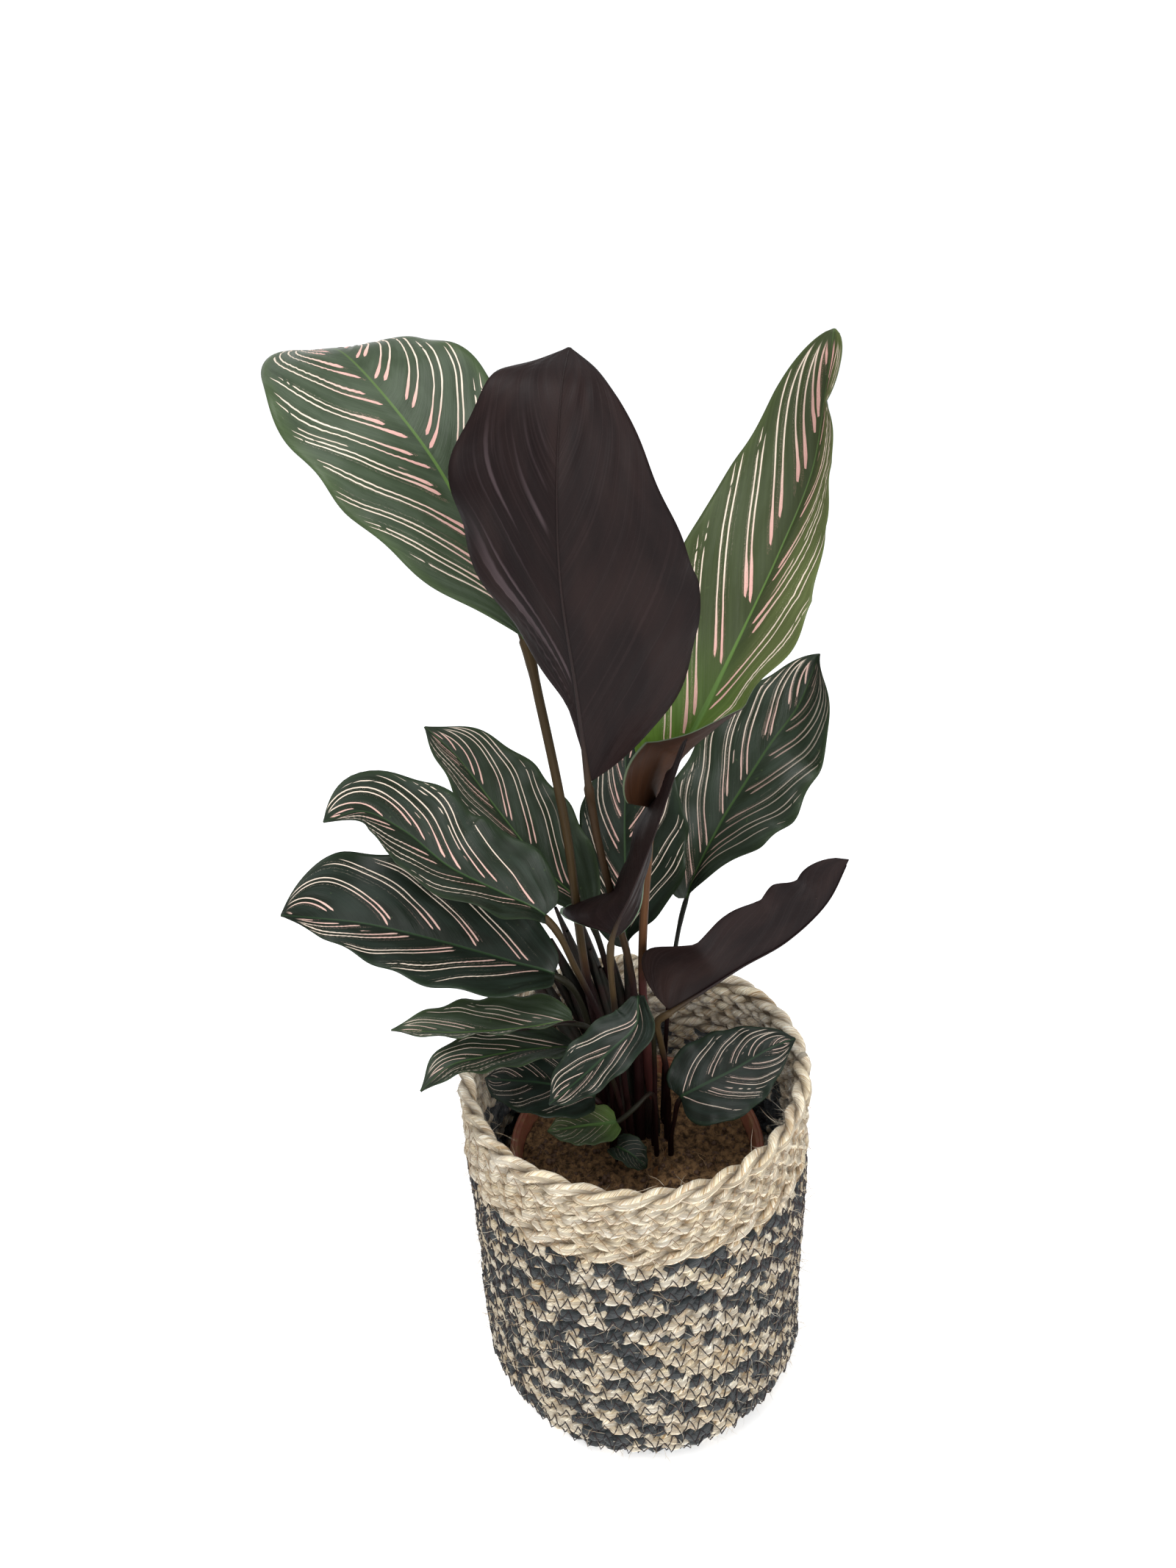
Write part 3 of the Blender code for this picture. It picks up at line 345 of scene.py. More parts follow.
LEAVES = {
    "leaf_upper_left": Leaf(
        (-9, 19), [(-25, 8, 300), (-31, 10, 395), (-40, 15, 467)],
        [(-46, 20, 502), (-64, 28, 547), (-81, 40, 583), (-101, 57, 609),
         (-127, 86, 631), (-147, 125, 628)],
        ((0.12, -0.95, 0.25), (0.25, -0.35, 0.9)), (54, 48), widest=(0.6, 0.55), base_taper=(1.2, 0.8),
        left=(15, 6, 0, -5), right=(15, 8, 5, -5), wave=(2.5, 2.5), sheath=(3.8, 125), stalk_radius=2.5,
    ),
    "leaf_tall_dark": Leaf(
        (3, 7), [(1, 0, 300), (-6, -2, 345), (-11.6, -8, 381), (-14.9, -16, 407), (-17, -27, 434)],
        [(-18, -38, 450), (-21, -54, 505), (-25, -64, 560), (-24, -65, 600),
         (-20, -52, 634), (-16, -22, 645)],
        ((-0.05, 1, -0.2), (0, 0.75, -0.6)), (60, 43.6), widest=(0.44, 0.69), base_taper=(0.443, 2.94),
        tip_taper=(1.217, 1.74), tip_fullness=0.82, left=(25, 10, 5, 5), right=(53, 33, 7, -3),
        right_curl=(9, 14, 13, 8), lobe=(0, 22.5), lobe_length=0.467, wave=(1.2, 3), wave_count=5.02,
        wave_phase=0.03, sheath=(3.6, 110), stalk_radius=2.1,
    ),
    "leaf_upper_right": Leaf(
        (11, 13), [(7, 2, 300), (11, -3, 375)],
        [(16, -2, 413), (38, 6, 454), (62, 26, 492), (85, 42, 533), (102, 55, 569),
         (108, 62, 603), (111, 63, 634)],
        ((-0.35, -0.85, 0.4), (-0.35, -0.9, 0.2)), (47, 39.9), widest=(0.42, 0.29),
        base_taper=(0.5, 0.134), tip_taper=(2, 4), tip_fullness=0.64, left=(15, 12, 5, 5, 5),
        right=(89, 57, 20, 36, 51, 57, 62, 77, 31), left_curl=(0, 0, 0, 0, 0),
        right_curl=(34, 113, 59, 19, -24, 8, 5, 9, 23), lobe=(-45, -10), lobe_length=0.14,
        wave=(0.9, 4.8), wave_count=4.52, wave_phase=-0.207, sheath=(3.6, 120), stalk_radius=2.4,
    ),
    "leaf_right_middle": Leaf(
        (19, 22), [(24, 36, 250)],
        [(37, 50, 319), (58, 58, 365), (71, 62, 386), (88, 68, 411), (104, 75, 430), (117, 85, 457)],
        ((-0.25, -0.85, 0.45), (-0.25, -0.85, 0.45)), (36, 34.3), widest=(0.45, 0.49),
        base_taper=(0.52, 1.29), tip_taper=(3, 2.05), tip_fullness=0.8, left=(60, 15, 5, 5),
        right=(56, 17, -9, 51), right_curl=(-60, -23, -1, 42), lobe=(6, -21.7), lobe_length=0.457,
        wave=(2, 2.8), wave_count=4.71, wave_phase=-0.577, stalk_radius=1.4,
    ),
    "leaf_right_dark": Leaf(
        (20, 6), [(19, -8, 235), (15, -21, 272), (13.5, -25, 290.5)],
        [(20, -25, 296), (41, -18, 305), (62, -10, 313), (88, 0, 321), (112, 11, 338), (125, 20, 360)],
        ((-0.35, 0.9, -0.35), (-0.3, 0.9, 0.3)), (26, 36.1), widest=(0.35, 0.149),
        base_taper=(0.52, 0.645), tip_taper=(2.4, 6.9), tip_fullness=0.6, left=(85, 80, 75),
        right=(32, -13, 4, 5, 17), right_curl=(2, 0, 7, -20), lobe=(4, 12.2), lobe_length=0.4625,
        wave=(1.1, 2.2), wave_count=3.6, wave_phase=0.436, straight_base=0.16,
    ),
    "leaf_centre_funnel": Leaf(
        (-3, 1), [(-6, -14, 235), (-10, -28, 300)],
        [(-10, -36, 355), (1, -40, 387), (11, -42, 416), (22, -42, 450), (30, -34, 469)],
        ((0.2, 0.86, -0.12), (-0.2, 0.9, -0.1)), (26, 52.3), widest=(0.3, 0.158), base_taper=(0.52, 4.5),
        tip_taper=(2.4, 1.37), tip_fullness=0.76, left=(60, 77, 80, 75), right=(0, 74, 68, 90, 96),
        right_curl=(17, 39, 3), lobe=(6, 57.8), lobe_length=0.7, wave=(2, 3.4), wave_count=4.2,
        wave_phase=-0.5,
    ),
    "leaf_centre_back": Leaf(
        (9, 27), [(4, 36, 235)], [(0, 44, 289), (1, 50, 333), (2, 58, 368), (4, 66, 398), (5, 76, 424)],
        ((0, -0.9, 0.4), (0, -0.9, 0.4)), (30, 38), widest=(0.4, 0.5), base_taper=(0.9, 1.6),
    ),
    "leaf_left_back": Leaf(
        (-3, 29), [(-10, 26, 270)],
        [(-24, 24, 333), (-46, 35, 356), (-71, 50, 388), (-92, 66, 414), (-110, 80, 427)],
        ((0.2, -0.5, 0.85), (0.2, -0.6, 0.8)), (27, 34), left=(35, 35, 30), right=(50, 25, 12),
    ),
    "leaf_left_middle": Leaf(
        (-10, 7), [(-13, 0, 250), (-30, -8, 315)],
        [(-45, -11, 355), (-67, -8, 369), (-94, -4, 385), (-116, 2, 405), (-136, 2, 418), (-154, -10, 420)],
        ((0.15, -0.4, 0.9), (0, -0.5, 0.85)), (30, 32), widest=(0.35, 0.35), tip_taper=(2.4, 3.6),
        left=(40, 35, 30), right=(30, 15, 10), lobe=(6, 12), stalk_radius=1.9,
    ),
    "leaf_left_low": Leaf(
        (-17, 12), [(-22, 3, 240), (-31, -10, 300)],
        [(-42, -17, 320), (-63, -14, 327), (-103, -6, 338), (-143, 0, 348),
         (-166, 0, 353), (-187, -6, 361)],
        ((0.2, -0.45, 0.87), (0.1, -0.45, 0.87)), (32, 41), widest=(0.38, 0.6), tip_taper=(1.7, 4),
        left=(25, 15, 15), right=(25, 15, 15),
    ),
    "leaf_left_rim_upper": Leaf(
        (-15, 1), [(-14, -7, 230), (-19, -22, 277)],
        [(-33, -34, 300), (-60, -37, 300), (-96, -40, 302), (-130, -42, 308)],
        ((0, -0.1, 1), (0, -0.2, 1)), (20, 22), left=(45, 45, 40), right=(15, 10, 10), wave=(1.5, 1.5),
        sheath=(2, 40), stalk_radius=1.4,
    ),
    "leaf_left_rim_lower": Leaf(
        (-7, -5), [(-9, -15, 218), (-18, -27, 262)],
        [(-33, -34, 281), (-57, -42, 289), (-80, -50, 293), (-99, -58, 295), (-114, -68, 288)],
        ((0, -0.1, 1), (-0.2, -0.4, 0.9)), (16, 17), left=(30, 25, 25), right=(10, 10, 10),
        wave=(1.5, 1.5), sheath=(2, 30), stalk_radius=1.4,
    ),
    "leaf_inside_left": Leaf(
        (-12, -9), [(-15, -13, 200)],
        [(-24, -16, 227), (-38, -16, 235), (-57, -15, 240), (-74, -12, 240), (-88, -6, 237)],
        ((0, -0.3, 0.95), (0, -0.3, 0.95)), (22, 22), left=(15, 5, 5), right=(20, 15, 10),
        wave=(1.2, 1.2), sheath=(1.9, 20), stalk_radius=1.4,
    ),
    "leaf_front_small": Leaf(
        (11, 0), [(12, -10, 240), (9, -30, 296)],
        [(3, -37, 318), (1, -45, 306), (-14, -54, 296), (-32, -60, 282), (-48, -62, 268)],
        ((-0.4, -0.75, 0.5), (-0.4, -0.65, 0.6)), (14.5, 17), widest=(0.4, 0.5), base_taper=(0.52, 0.6),
        wave=(1.5, 1.5), sheath=(1.9, 40), stalk_radius=1.4,
    ),
    "leaf_right_small": Leaf(
        (21, -5), [(23, -14, 205)],
        [(26, -21, 228), (36, -20, 234), (58, -14, 241), (81, -8, 251), (95, -4, 253)],
        ((-0.1, -0.55, 0.83), (-0.1, -0.55, 0.83)), (25, 26), widest=(0.36, 0.36), tip_taper=(1.9, 1.8),
        left=(20, 10, 10), right=(10, 5, 5), lobe=(10, 10), wave=(1.2, 1.2), sheath=(1.9, 20),
        stalk_radius=1.4,
    ),
    "leaf_front_low": Leaf(
        (12, -7), [(9, -14, 226), (0, -21, 223)], [(-12, -26, 217), (-30, -31, 220), (-52, -36, 222)],
        ((0.1, -0.3, 0.95), (0.1, -0.3, 0.95)), (13, 13), left=(10, 5, 5), right=(10, 5, 5), wave=(1, 1),
        sheath=(1.8, 15), stalk_radius=1.3,
    ),
    "leaf_front_hanging": Leaf(
        (-2, -12), [(-8, -20, 190)], [(-13, -31, 202), (-5, -38, 203), (4, -42, 195)],
        ((0, -0.3, 0.95), (0.3, -0.3, 0.9)), (10, 10), wave=(1, 1), sheath=(1.8, 10), stalk_radius=1.3,
    ),
}


# Shapes shared with the solids


def row_height(row):
    return ROPE_RADIUS + ROW_PITCH * row


def row_radius(row):
    """Distance from the axis to the middle of a row. The lowest rows step in to meet the base."""
    inset = LOW_ROW_INSETS[row] if row < len(LOW_ROW_INSETS) else 0.0
    return ROW_RADIUS - inset


def blend(first, second, low, high, at):
    """What lies between two points at a value between the two limits that they stand for."""
    return (high - at) / (high - low) * first + (at - low) / (high - low) * second


def smooth_path(points, count_per_span):
    """Points on a centripetal curve through the given points, and the index of each given point."""
    given = np.array(points, float)
    padded = np.vstack([2 * given[0] - given[1], given, 2 * given[-1] - given[-2]])
    made, marks = [], []
    for k in range(len(given) - 1):
        a, b, c, d = padded[k : k + 4]
        knots = [0.0]
        for first, second in ((a, b), (b, c), (c, d)):
            knots.append(knots[-1] + max(np.linalg.norm(second - first), 1e-6) ** 0.5)
        marks.append(len(made))
        for t in np.linspace(knots[1], knots[2], count_per_span, endpoint=False):
            ab = blend(a, b, knots[0], knots[1], t)
            bc = blend(b, c, knots[1], knots[2], t)
            cd = blend(c, d, knots[2], knots[3], t)
            abc = blend(ab, bc, knots[0], knots[2], t)
            bcd = blend(bc, cd, knots[1], knots[3], t)
            made.append(blend(abc, bcd, knots[1], knots[2], t))
    marks.append(len(made))
    made.append(given[-1])
    return np.array(made), marks


def lengths_along(path):
    return np.concatenate([[0.0], np.cumsum(np.linalg.norm(np.diff(path, axis=0), axis=1))])


def read_at(at, along, vectors):
    """Vectors given along a path, read at other distances."""
    return np.stack([np.interp(at, along, vectors[:, axis]) for axis in range(3)], 1)


def resampled(path, at):
    """Points of a path at the given distances along it."""
    return read_at(at, lengths_along(path), path)


def round_angles(steps):
    return np.linspace(0, 2 * np.pi, steps, endpoint=False)


def outward_at(angle):
    """Unit vectors that point away from the axis at each angle."""
    return np.stack([np.cos(angle), np.sin(angle), 0 * np.asarray(angle)], -1)


def unit(vectors):
    return vectors / np.linalg.norm(vectors, axis=-1, keepdims=True)


def tangents_of(path):
    return unit(np.gradient(path, axis=0))


def leaf_paths(leaf):
    """Finely spaced points of the stalk and of the midrib, on one smooth curve."""
    heights = (-ROOT_DEPTH, 0.0, STRAIGHT_FOOT / 2, STRAIGHT_FOOT)
    foot = [(*leaf.root, SOIL_LEVEL + height) for height in heights]
    path, marks = smooth_path(foot + leaf.stalk + leaf.midrib, PATH_POINTS)
    base = marks[len(foot) + len(leaf.stalk)]
    return path[: base + 1], path[base:]


def width_share(s, widest, base_taper, tip_taper, tip_fullness):
    """Half width along the blade as a share of the greatest."""
    low = np.clip(s / widest, 0, 1)
    high = np.clip((s - widest) / (1 - widest), 0, 1)
    base = np.clip(1 - (1 - low) ** BASE_ROUNDNESS, 0, 1) ** base_taper
    tip = np.clip(1 - high**tip_taper, 0, 1) ** tip_fullness
    return np.where(s < widest, base, tip)


def spread(values, s):
    """Values given at even steps from base to tip, read at each s."""
    return np.interp(s, np.linspace(0, 1, len(values)), values)


def blade_surface(leaf, midrib, s, t):
    """Points and normals of the blade's middle surface, for s from base to tip and t from left to right."""
    along = lengths_along(midrib)
    spine = resampled(midrib, s * along[-1])
    at = np.maximum(s, leaf.straight_base) * along[-1]
    tangent = unit(read_at(at, along, tangents_of(midrib)))
    face = (1 - s)[:, None] * np.array(leaf.face[0]) + s[:, None] * np.array(leaf.face[1])
    side = unit(np.cross(tangent, face))
    up = np.cross(side, tangent)
    points = np.empty((len(s), len(t), 3))
    points[:] = spine[:, None, :]
    fine = np.linspace(0, 1, CURL_SAMPLES)
    halves = ((-1, 0, leaf.left, leaf.left_curl, 0.0), (1, 1, leaf.right, leaf.right_curl, RIGHT_WAVE_PHASE))
    for sign, half, folds, curls, phase in halves:
        taper = (leaf.base_taper[half], leaf.tip_taper[half], leaf.tip_fullness)
        share = width_share(s, leaf.widest[half], *taper)
        width = np.maximum(leaf.half_width[half] * share, TIP_HALF_WIDTH)
        angle = np.radians(spread(folds, s)[:, None] + spread(curls, s)[:, None] * fine[None, :])
        bends = (np.cumsum(part(angle[:, 1:]), 1) * fine[1] for part in (np.cos, np.sin))
        tables = [np.pad(bend, ((0, 0), (1, 0))) for bend in bends]
        turn = 2 * np.pi * (leaf.wave_count * s + leaf.wave_phase + phase)
        height = leaf.wave[half] * np.sqrt(share) * np.sin(turn)
        ruffle = WAVE_IN_PLANE * leaf.wave[half] * np.sqrt(share) * np.cos(turn)
        back = leaf.lobe[half] * share * np.clip(1 - s / leaf.lobe_length, 0, 1)
        for column in np.where(np.sign(t) == sign)[0]:
            reach = abs(t[column])
            out, lift = (np.array([np.interp(reach, fine, row) for row in table]) for table in tables)
            points[:, column] += side * (sign * (width * out + ruffle * reach**2))[:, None]
            points[:, column] += up * (width * lift + height * reach**2)[:, None]
            points[:, column] -= tangent * (back * reach)[:, None]
    normal = unit(np.cross(np.gradient(points, axis=1), tangent[:, None, :]))
    return points, normal, up, side


@dataclass
class Look:
    """What sets one leaf's looks apart from the next one's."""

    pairs: float  # pairs of stripes along each half
    seed: float
    tone: float = 0.15  # 0 is nearly black, and 1 mid green
    fresh: float = 0.0  # how lime the base is
    warm: float = 0.0  # how rusty the underside is at the base
    rim: float = 0.0  # whether the underside has a pale margin
    shows: tuple = (1.0, 1.0)  # how clearly the stripes of the left and right half show
    # The streaks below are painted sheen, a lighter colour rather than gloss.
    satin: float = 0.0  # how far streaks of one half of the underside shine, below zero for the left half
    club: float = 0.5  # how much the stripes thicken by the midrib
    thickness: float = 0.75  # width of the stripes against the largest leaf's
    veins: tuple = ((0.34, 0.14), (0.34, 0.14))  # rise and sweep of the left and right lateral veins
    petiole: tuple = OLIVE_DARK
    sheath: tuple = DARK_RED


LOOKS = {
    "leaf_upper_left": Look(
        11.4, 0.62, tone=0.90, club=0.8, thickness=1.0, veins=((0.26, 0.08), (0.10, 0.22)),
        petiole=OLIVE_BROWN,
    ),
    "leaf_tall_dark": Look(9.0, 1.72, tone=0.50, satin=1.0, thickness=1.0, petiole=TAWNY),
    "leaf_upper_right": Look(
        7.6, 2.35, tone=0.95, fresh=1.0, warm=1.0, rim=0.5, club=0.9, thickness=1.0,
        veins=((0.37, 0.09), (0.30, 0.12)), petiole=ORANGE_BROWN, sheath=PINK_RED,
    ),
    "leaf_right_middle": Look(
        7.0, 3.18, tone=0.30, shows=(1.0, 0.42), club=0.35, thickness=0.85,
        veins=((0.33, 0.12), (0.36, 0.15)), petiole=GREY_GREEN,
    ),
    "leaf_right_dark": Look(8.0, 4.65, tone=0.10, warm=0.10, satin=-0.6, petiole=OLIVE_BROWN),
    "leaf_centre_funnel": Look(6.0, 5.27, tone=0.20, rim=1.0, petiole=OLIVE_BROWN),
    "leaf_centre_back": Look(6.0, 6.91, tone=0.12, petiole=GREY_GREEN),
    "leaf_left_back": Look(5.6, 7.44, tone=0.38, shows=(0.75, 1.0), veins=((0.40, 0.15), (0.40, 0.21))),
    "leaf_left_middle": Look(
        5.2, 8.12, tone=0.18, shows=(0.85, 1.0), thickness=0.80, veins=((0.36, 0.14), (0.48, 0.05)),
        petiole=OLIVE_BROWN,
    ),
    "leaf_left_low": Look(
        5.7, 9.58, tone=0.05, club=0.4, thickness=0.80, veins=((0.42, 0.04), (0.20, 0.32))
    ),
    "leaf_left_rim_upper": Look(3.6, 10.36, tone=0.70, club=0.2, thickness=0.50, veins=((0.56, 0.12),) * 2),
    "leaf_left_rim_lower": Look(
        4.0, 11.83, tone=0.30, club=0.2, thickness=0.42, shows=(0.6, 0.9), veins=((0.56, 0.12),) * 2
    ),
    "leaf_inside_left": Look(4.3, 12.29, tone=0.0, club=0.1, thickness=0.38, shows=(0.6, 0.7)),
    "leaf_front_small": Look(3.4, 13.74, tone=0.02, club=0.1, thickness=0.40, veins=((0.50, 0.14),) * 2),
    "leaf_right_small": Look(
        5.4, 14.15, tone=0.0, club=0.1, thickness=0.42, veins=((0.18, 0.36), (0.34, 0.12))
    ),
    "leaf_front_low": Look(4.0, 15.52, tone=0.45, fresh=0.35, club=0.1, thickness=0.32, shows=(0.35, 0.35)),
    "leaf_front_hanging": Look(4.0, 16.87, tone=0.10, club=0.1, thickness=0.30, shows=(0.2, 0.2)),
}


# Node trees written as expressions


def operator(operation, turned_round=False):
    """A method that joins a math node to a socket, with its other values after it or before it."""

    def method(self, *others):
        return self.graph.math(operation, *((*others, self) if turned_round else (self, *others)))

    return method


class Value:
    """A socket of a material's node tree, which takes part in sums like a number."""

    def __init__(self, graph, socket):
        self.graph = graph
        self.socket = socket

    __add__ = __radd__ = operator("ADD")
    __sub__ = operator("SUBTRACT")
    __rsub__ = operator("SUBTRACT", turned_round=True)
    __mul__ = __rmul__ = operator("MULTIPLY")
    __truediv__ = operator("DIVIDE")
    __abs__ = operator("ABSOLUTE")
    floor = operator("FLOOR")
    fract = operator("FRACT")
    sign = operator("SIGN")
    sine = operator("SINE")
    cosine = operator("COSINE")
    over = operator("GREATER_THAN")
    at_least = operator("MAXIMUM")

    def smooth(self, low, high):
        """0 below low, 1 above high and a smooth step between. The limits may be either way round."""
        inputs = {"Value": self, "From Min": low, "From Max": high}
        return self.graph.made("ShaderNodeMapRange", inputs, "Result", interpolation_type="SMOOTHSTEP")


class Graph:
    """A new material whose node tree is built by calls."""

    def __init__(self, name):
        self.material = bpy.data.materials.new(name)
        self.material.use_nodes = True
        self.tree = self.material.node_tree
        self.shader = self.tree.nodes["Principled BSDF"]

    def join(self, value, socket):
        if isinstance(value, Value):
            self.tree.links.new(value.socket, socket)
        elif isinstance(value, tuple) and len(value) == 3 and socket.type == "RGBA":
            socket.default_value = (*value, 1.0)
        else:
            socket.default_value = value

    def made(self, kind, inputs, output=0, **settings):
        """An output of a new node, whose inputs are joined to values or to other sockets."""
        node = self.tree.nodes.new(kind)
        for key, value in settings.items():
            setattr(node, key, value)
        for key, value in inputs.items():
            self.join(value, node.inputs[key])
        return Value(self, node.outputs[output])

    def split(self, kind, value):
        """The three numbers of a colour or a vector."""
        node = self.tree.nodes.new(kind)
        self.join(value, node.inputs[0])
        return [Value(self, socket) for socket in node.outputs]

    def math(self, operation, *values):
        return self.made("ShaderNodeMath", dict(enumerate(values)), operation=operation)

    def attribute(self, name, output="Fac"):
        """What the mesh holds at each point, as a number unless the output says otherwise."""
        return self.made("ShaderNodeAttribute", {}, output, attribute_name=name)

    def attributes(self, name):
        """The three numbers of a vector that the mesh holds at each point."""
        return self.split("ShaderNodeSeparateXYZ", self.attribute(name, "Vector"))

    def place(self):
        """The point's place on the object, in metres."""
        return self.made("ShaderNodeTexCoord", {}, "Object")

    def vector(self, x, y, z=0.0):
        return self.made("ShaderNodeCombineXYZ", {0: x, 1: y, 2: z})

    def noise(self, vector, scale=1.0, detail=2.0, roughness=0.5):
        inputs = {"Vector": vector, "Scale": scale, "Detail": detail, "Roughness": roughness}
        return self.made("ShaderNodeTexNoise", inputs, "Fac")

    def chance(self, number, stream):
        """Three even random numbers from 0 to 1 for each whole number."""
        inputs = {"Vector": self.vector(number, stream)}
        drawn = self.made("ShaderNodeTexWhiteNoise", inputs, "Color", noise_dimensions="2D")
        return self.split("ShaderNodeSeparateColor", drawn)

    def mix(self, share, first, second):
        """Colour that goes from the first to the second."""
        return self.made("ShaderNodeMix", {0: share, 6: first, 7: second}, 2, data_type="RGBA")

    def scaled(self, colour, share):
        """A colour made lighter or darker."""
        return self.made("ShaderNodeVectorMath", {0: colour, "Scale": share}, operation="SCALE")

    def bump(self, height, distance, strength=1.0):
        inputs = {"Strength": strength, "Distance": distance, "Height": height}
        self.join(self.made("ShaderNodeBump", inputs), self.shader.inputs["Normal"])

    def finish(self, colour, roughness, **fixed):
        """Joins colour and roughness to the shader and sets its even values."""
        self.join(colour, self.shader.inputs["Base Color"])
        self.join(roughness, self.shader.inputs["Roughness"])
        for key, value in fixed.items():
            self.shader.inputs[key.replace("_", " ")].default_value = value
        return self.material


# Materials


def vein_place(g):
    """Where a point lies on the blade: (s, t, across, q), with q even along each lateral vein."""
    s, t, across = g.attributes("blade")
    bend = g.noise(g.vector(s * 6.0, t * 4.0, g.attributes("look")[1]), detail=1.0) - 0.5
    return s, t, across, g.attribute("vein") + bend * VEIN_WANDER


def stripe_mask(g, s, t, q):
    """Mask of the paired stripes that follow the lateral veins."""
    pairs, seed, thickness = g.attributes("look")
    metres = g.attribute("metric")
    reach, side = abs(t), t.over(0.0)
    step = q * pairs + side * SIDE_SHIFT + seed
    number, place = step.floor(), step.fract()
    stream = side * 57.0 + seed * 13.0
    a, b, c = g.chance(number, stream)
    d, e, f = g.chance(number, stream + 401.0)
    off = (place - 0.5 - (a - 0.5) * 0.24) / pairs * metres
    second = off.over(0.0)
    line = number + second * 0.5
    gap = (b * 0.0012 + 0.0013) * (thickness * 0.6 + 0.4) * (reach * -0.25 + 1.0)
    away = abs(abs(off) - gap)
    inner = c * 0.09 + 0.07 + (second * 2.0 - 1.0) * (d - 0.5) * 0.10
    outer = e * -0.10 + 1.02 - second * f * 0.09
    club = reach.smooth(inner + 0.26, inner + 0.01) * g.attribute("club") * (e * 0.7 + 0.5)
    rag = g.noise(g.vector(line, reach * 11.0, seed), detail=1.0)
    width = (club * 0.00062 + 0.00036) * thickness * (rag * 0.7 + 0.65)
    width = width * reach.smooth(inner - 0.02, inner + 0.02) * reach.smooth(outer, outer - 0.13)
    torn = g.noise(g.vector(line + 40.0, reach * 24.0, seed), detail=0.0)
    width = width * torn.smooth(0.36, 0.40).at_least(reach.smooth(outer - 0.12, outer - 0.18))
    mask = away.smooth(width + 0.00008, width - 0.00008) * width.smooth(0.00004, 0.00010)
    third_off = abs(off - gap - d * 0.0012 - 0.0016)
    dashes = g.noise(g.vector(number, reach * 9.0, seed + 9.0), detail=0.0).smooth(0.50, 0.54)
    third = third_off.smooth(0.00036, 0.00022) * dashes * a.over(0.82)
    third = third * reach.smooth(inner + 0.10, inner + 0.20) * reach.smooth(outer, outer - 0.1)
    inside = q.smooth(-0.03, 0.0) * q.smooth(0.975, 0.94) * s.smooth(0.985, 0.955) * s.smooth(0.004, 0.02)
    crowd = (metres / pairs).smooth(0.0020, 0.0034)
    both = mask.at_least(third * 0.85)
    return both * inside * crowd * g.attribute("show")


def leaf_upper():
    """Satin green with pink and cream pinstripes."""
    g = Graph("leaf_upper")
    s, t, across, q = vein_place(g)
    pairs, seed, _ = g.attributes("look")
    tone, fresh = g.attribute("tone"), g.attribute("fresh")
    reach = abs(t)
    mask = stripe_mask(g, s, t, q)
    vein = g.noise(g.vector(q * pairs * 9.0, reach * 3.0, seed), detail=3.0)
    cloud = g.noise(g.vector(s * 5.0, t * 3.0, seed), detail=3.0)
    patchy = g.noise(g.vector(q * pairs * 1.3, reach * 4.0, seed + 5.0), detail=3.0)
    # Painted shade: band darkens the green in the pleats' troughs by each pair of stripes and lightens it on
    # their crests between pairs.
    step = (q * pairs + t.over(0.0) * SIDE_SHIFT + seed).fract()
    band = abs(step - 0.5).smooth(0.12, 0.5)
    deep = g.mix(tone, DARK_GREEN, MIDDLE_GREEN)
    light = g.mix(tone, BLUE_GREEN, LIGHT_GREEN)
    green = g.mix(band * 0.35 + patchy.smooth(0.42, 0.62) * 0.45 + (cloud - 0.5) * 0.5, deep, light)
    edge = reach.smooth(0.82, 1.0) * 0.5 + (cloud - 0.5) * 0.25
    green = g.mix(edge, green, g.mix(tone, EDGE_GREEN, FRESH_GREEN))
    green = g.mix(fresh * 0.55, green, OLIVE_GREEN)
    green = g.mix(fresh * t.smooth(0.05, 0.5) * 0.70, green, GLOW_GREEN)
    green = g.mix(fresh * s.smooth(0.42, 0.02), green, LIME)
    green = g.scaled(green, vein * 0.6 + 0.70)
    half_rib = s * -0.0006 + 0.0010 + fresh * s.smooth(0.5, 0.0) * 0.0012
    rib = abs(across).smooth(half_rib + 0.00025, half_rib - 0.00025)
    green = g.mix(rib, green, g.mix(tone, RIB_GREEN, g.mix(s.smooth(0.35, 0.95), RIB_PALE, FRESH_GREEN)))
    creamy = reach.smooth(0.12, 0.55).at_least(g.attribute("club") * -1.0 + 0.75)
    stripe = g.mix(creamy, STRIPE_PINK, STRIPE_CREAM)
    stripe = g.scaled(stripe, vein * 0.35 + 0.80)
    colour = g.mix(mask, green, stripe)
    spot = g.noise(g.place(), scale=420.0, detail=1.0).smooth(0.74, 0.78)
    colour = g.mix(spot * 0.25, colour, FRESH_GREEN)
    fine = g.noise(g.vector(q * pairs * 26.0, reach * 5.0, seed), detail=2.0)
    g.bump(fine * 0.6 + vein * 0.5 + mask * 0.25, distance=0.00030, strength=0.55)
    gloss = patchy * 0.30 + 0.22
    return g.finish(colour, gloss + mask * 0.10, Specular_IOR_Level=0.15)


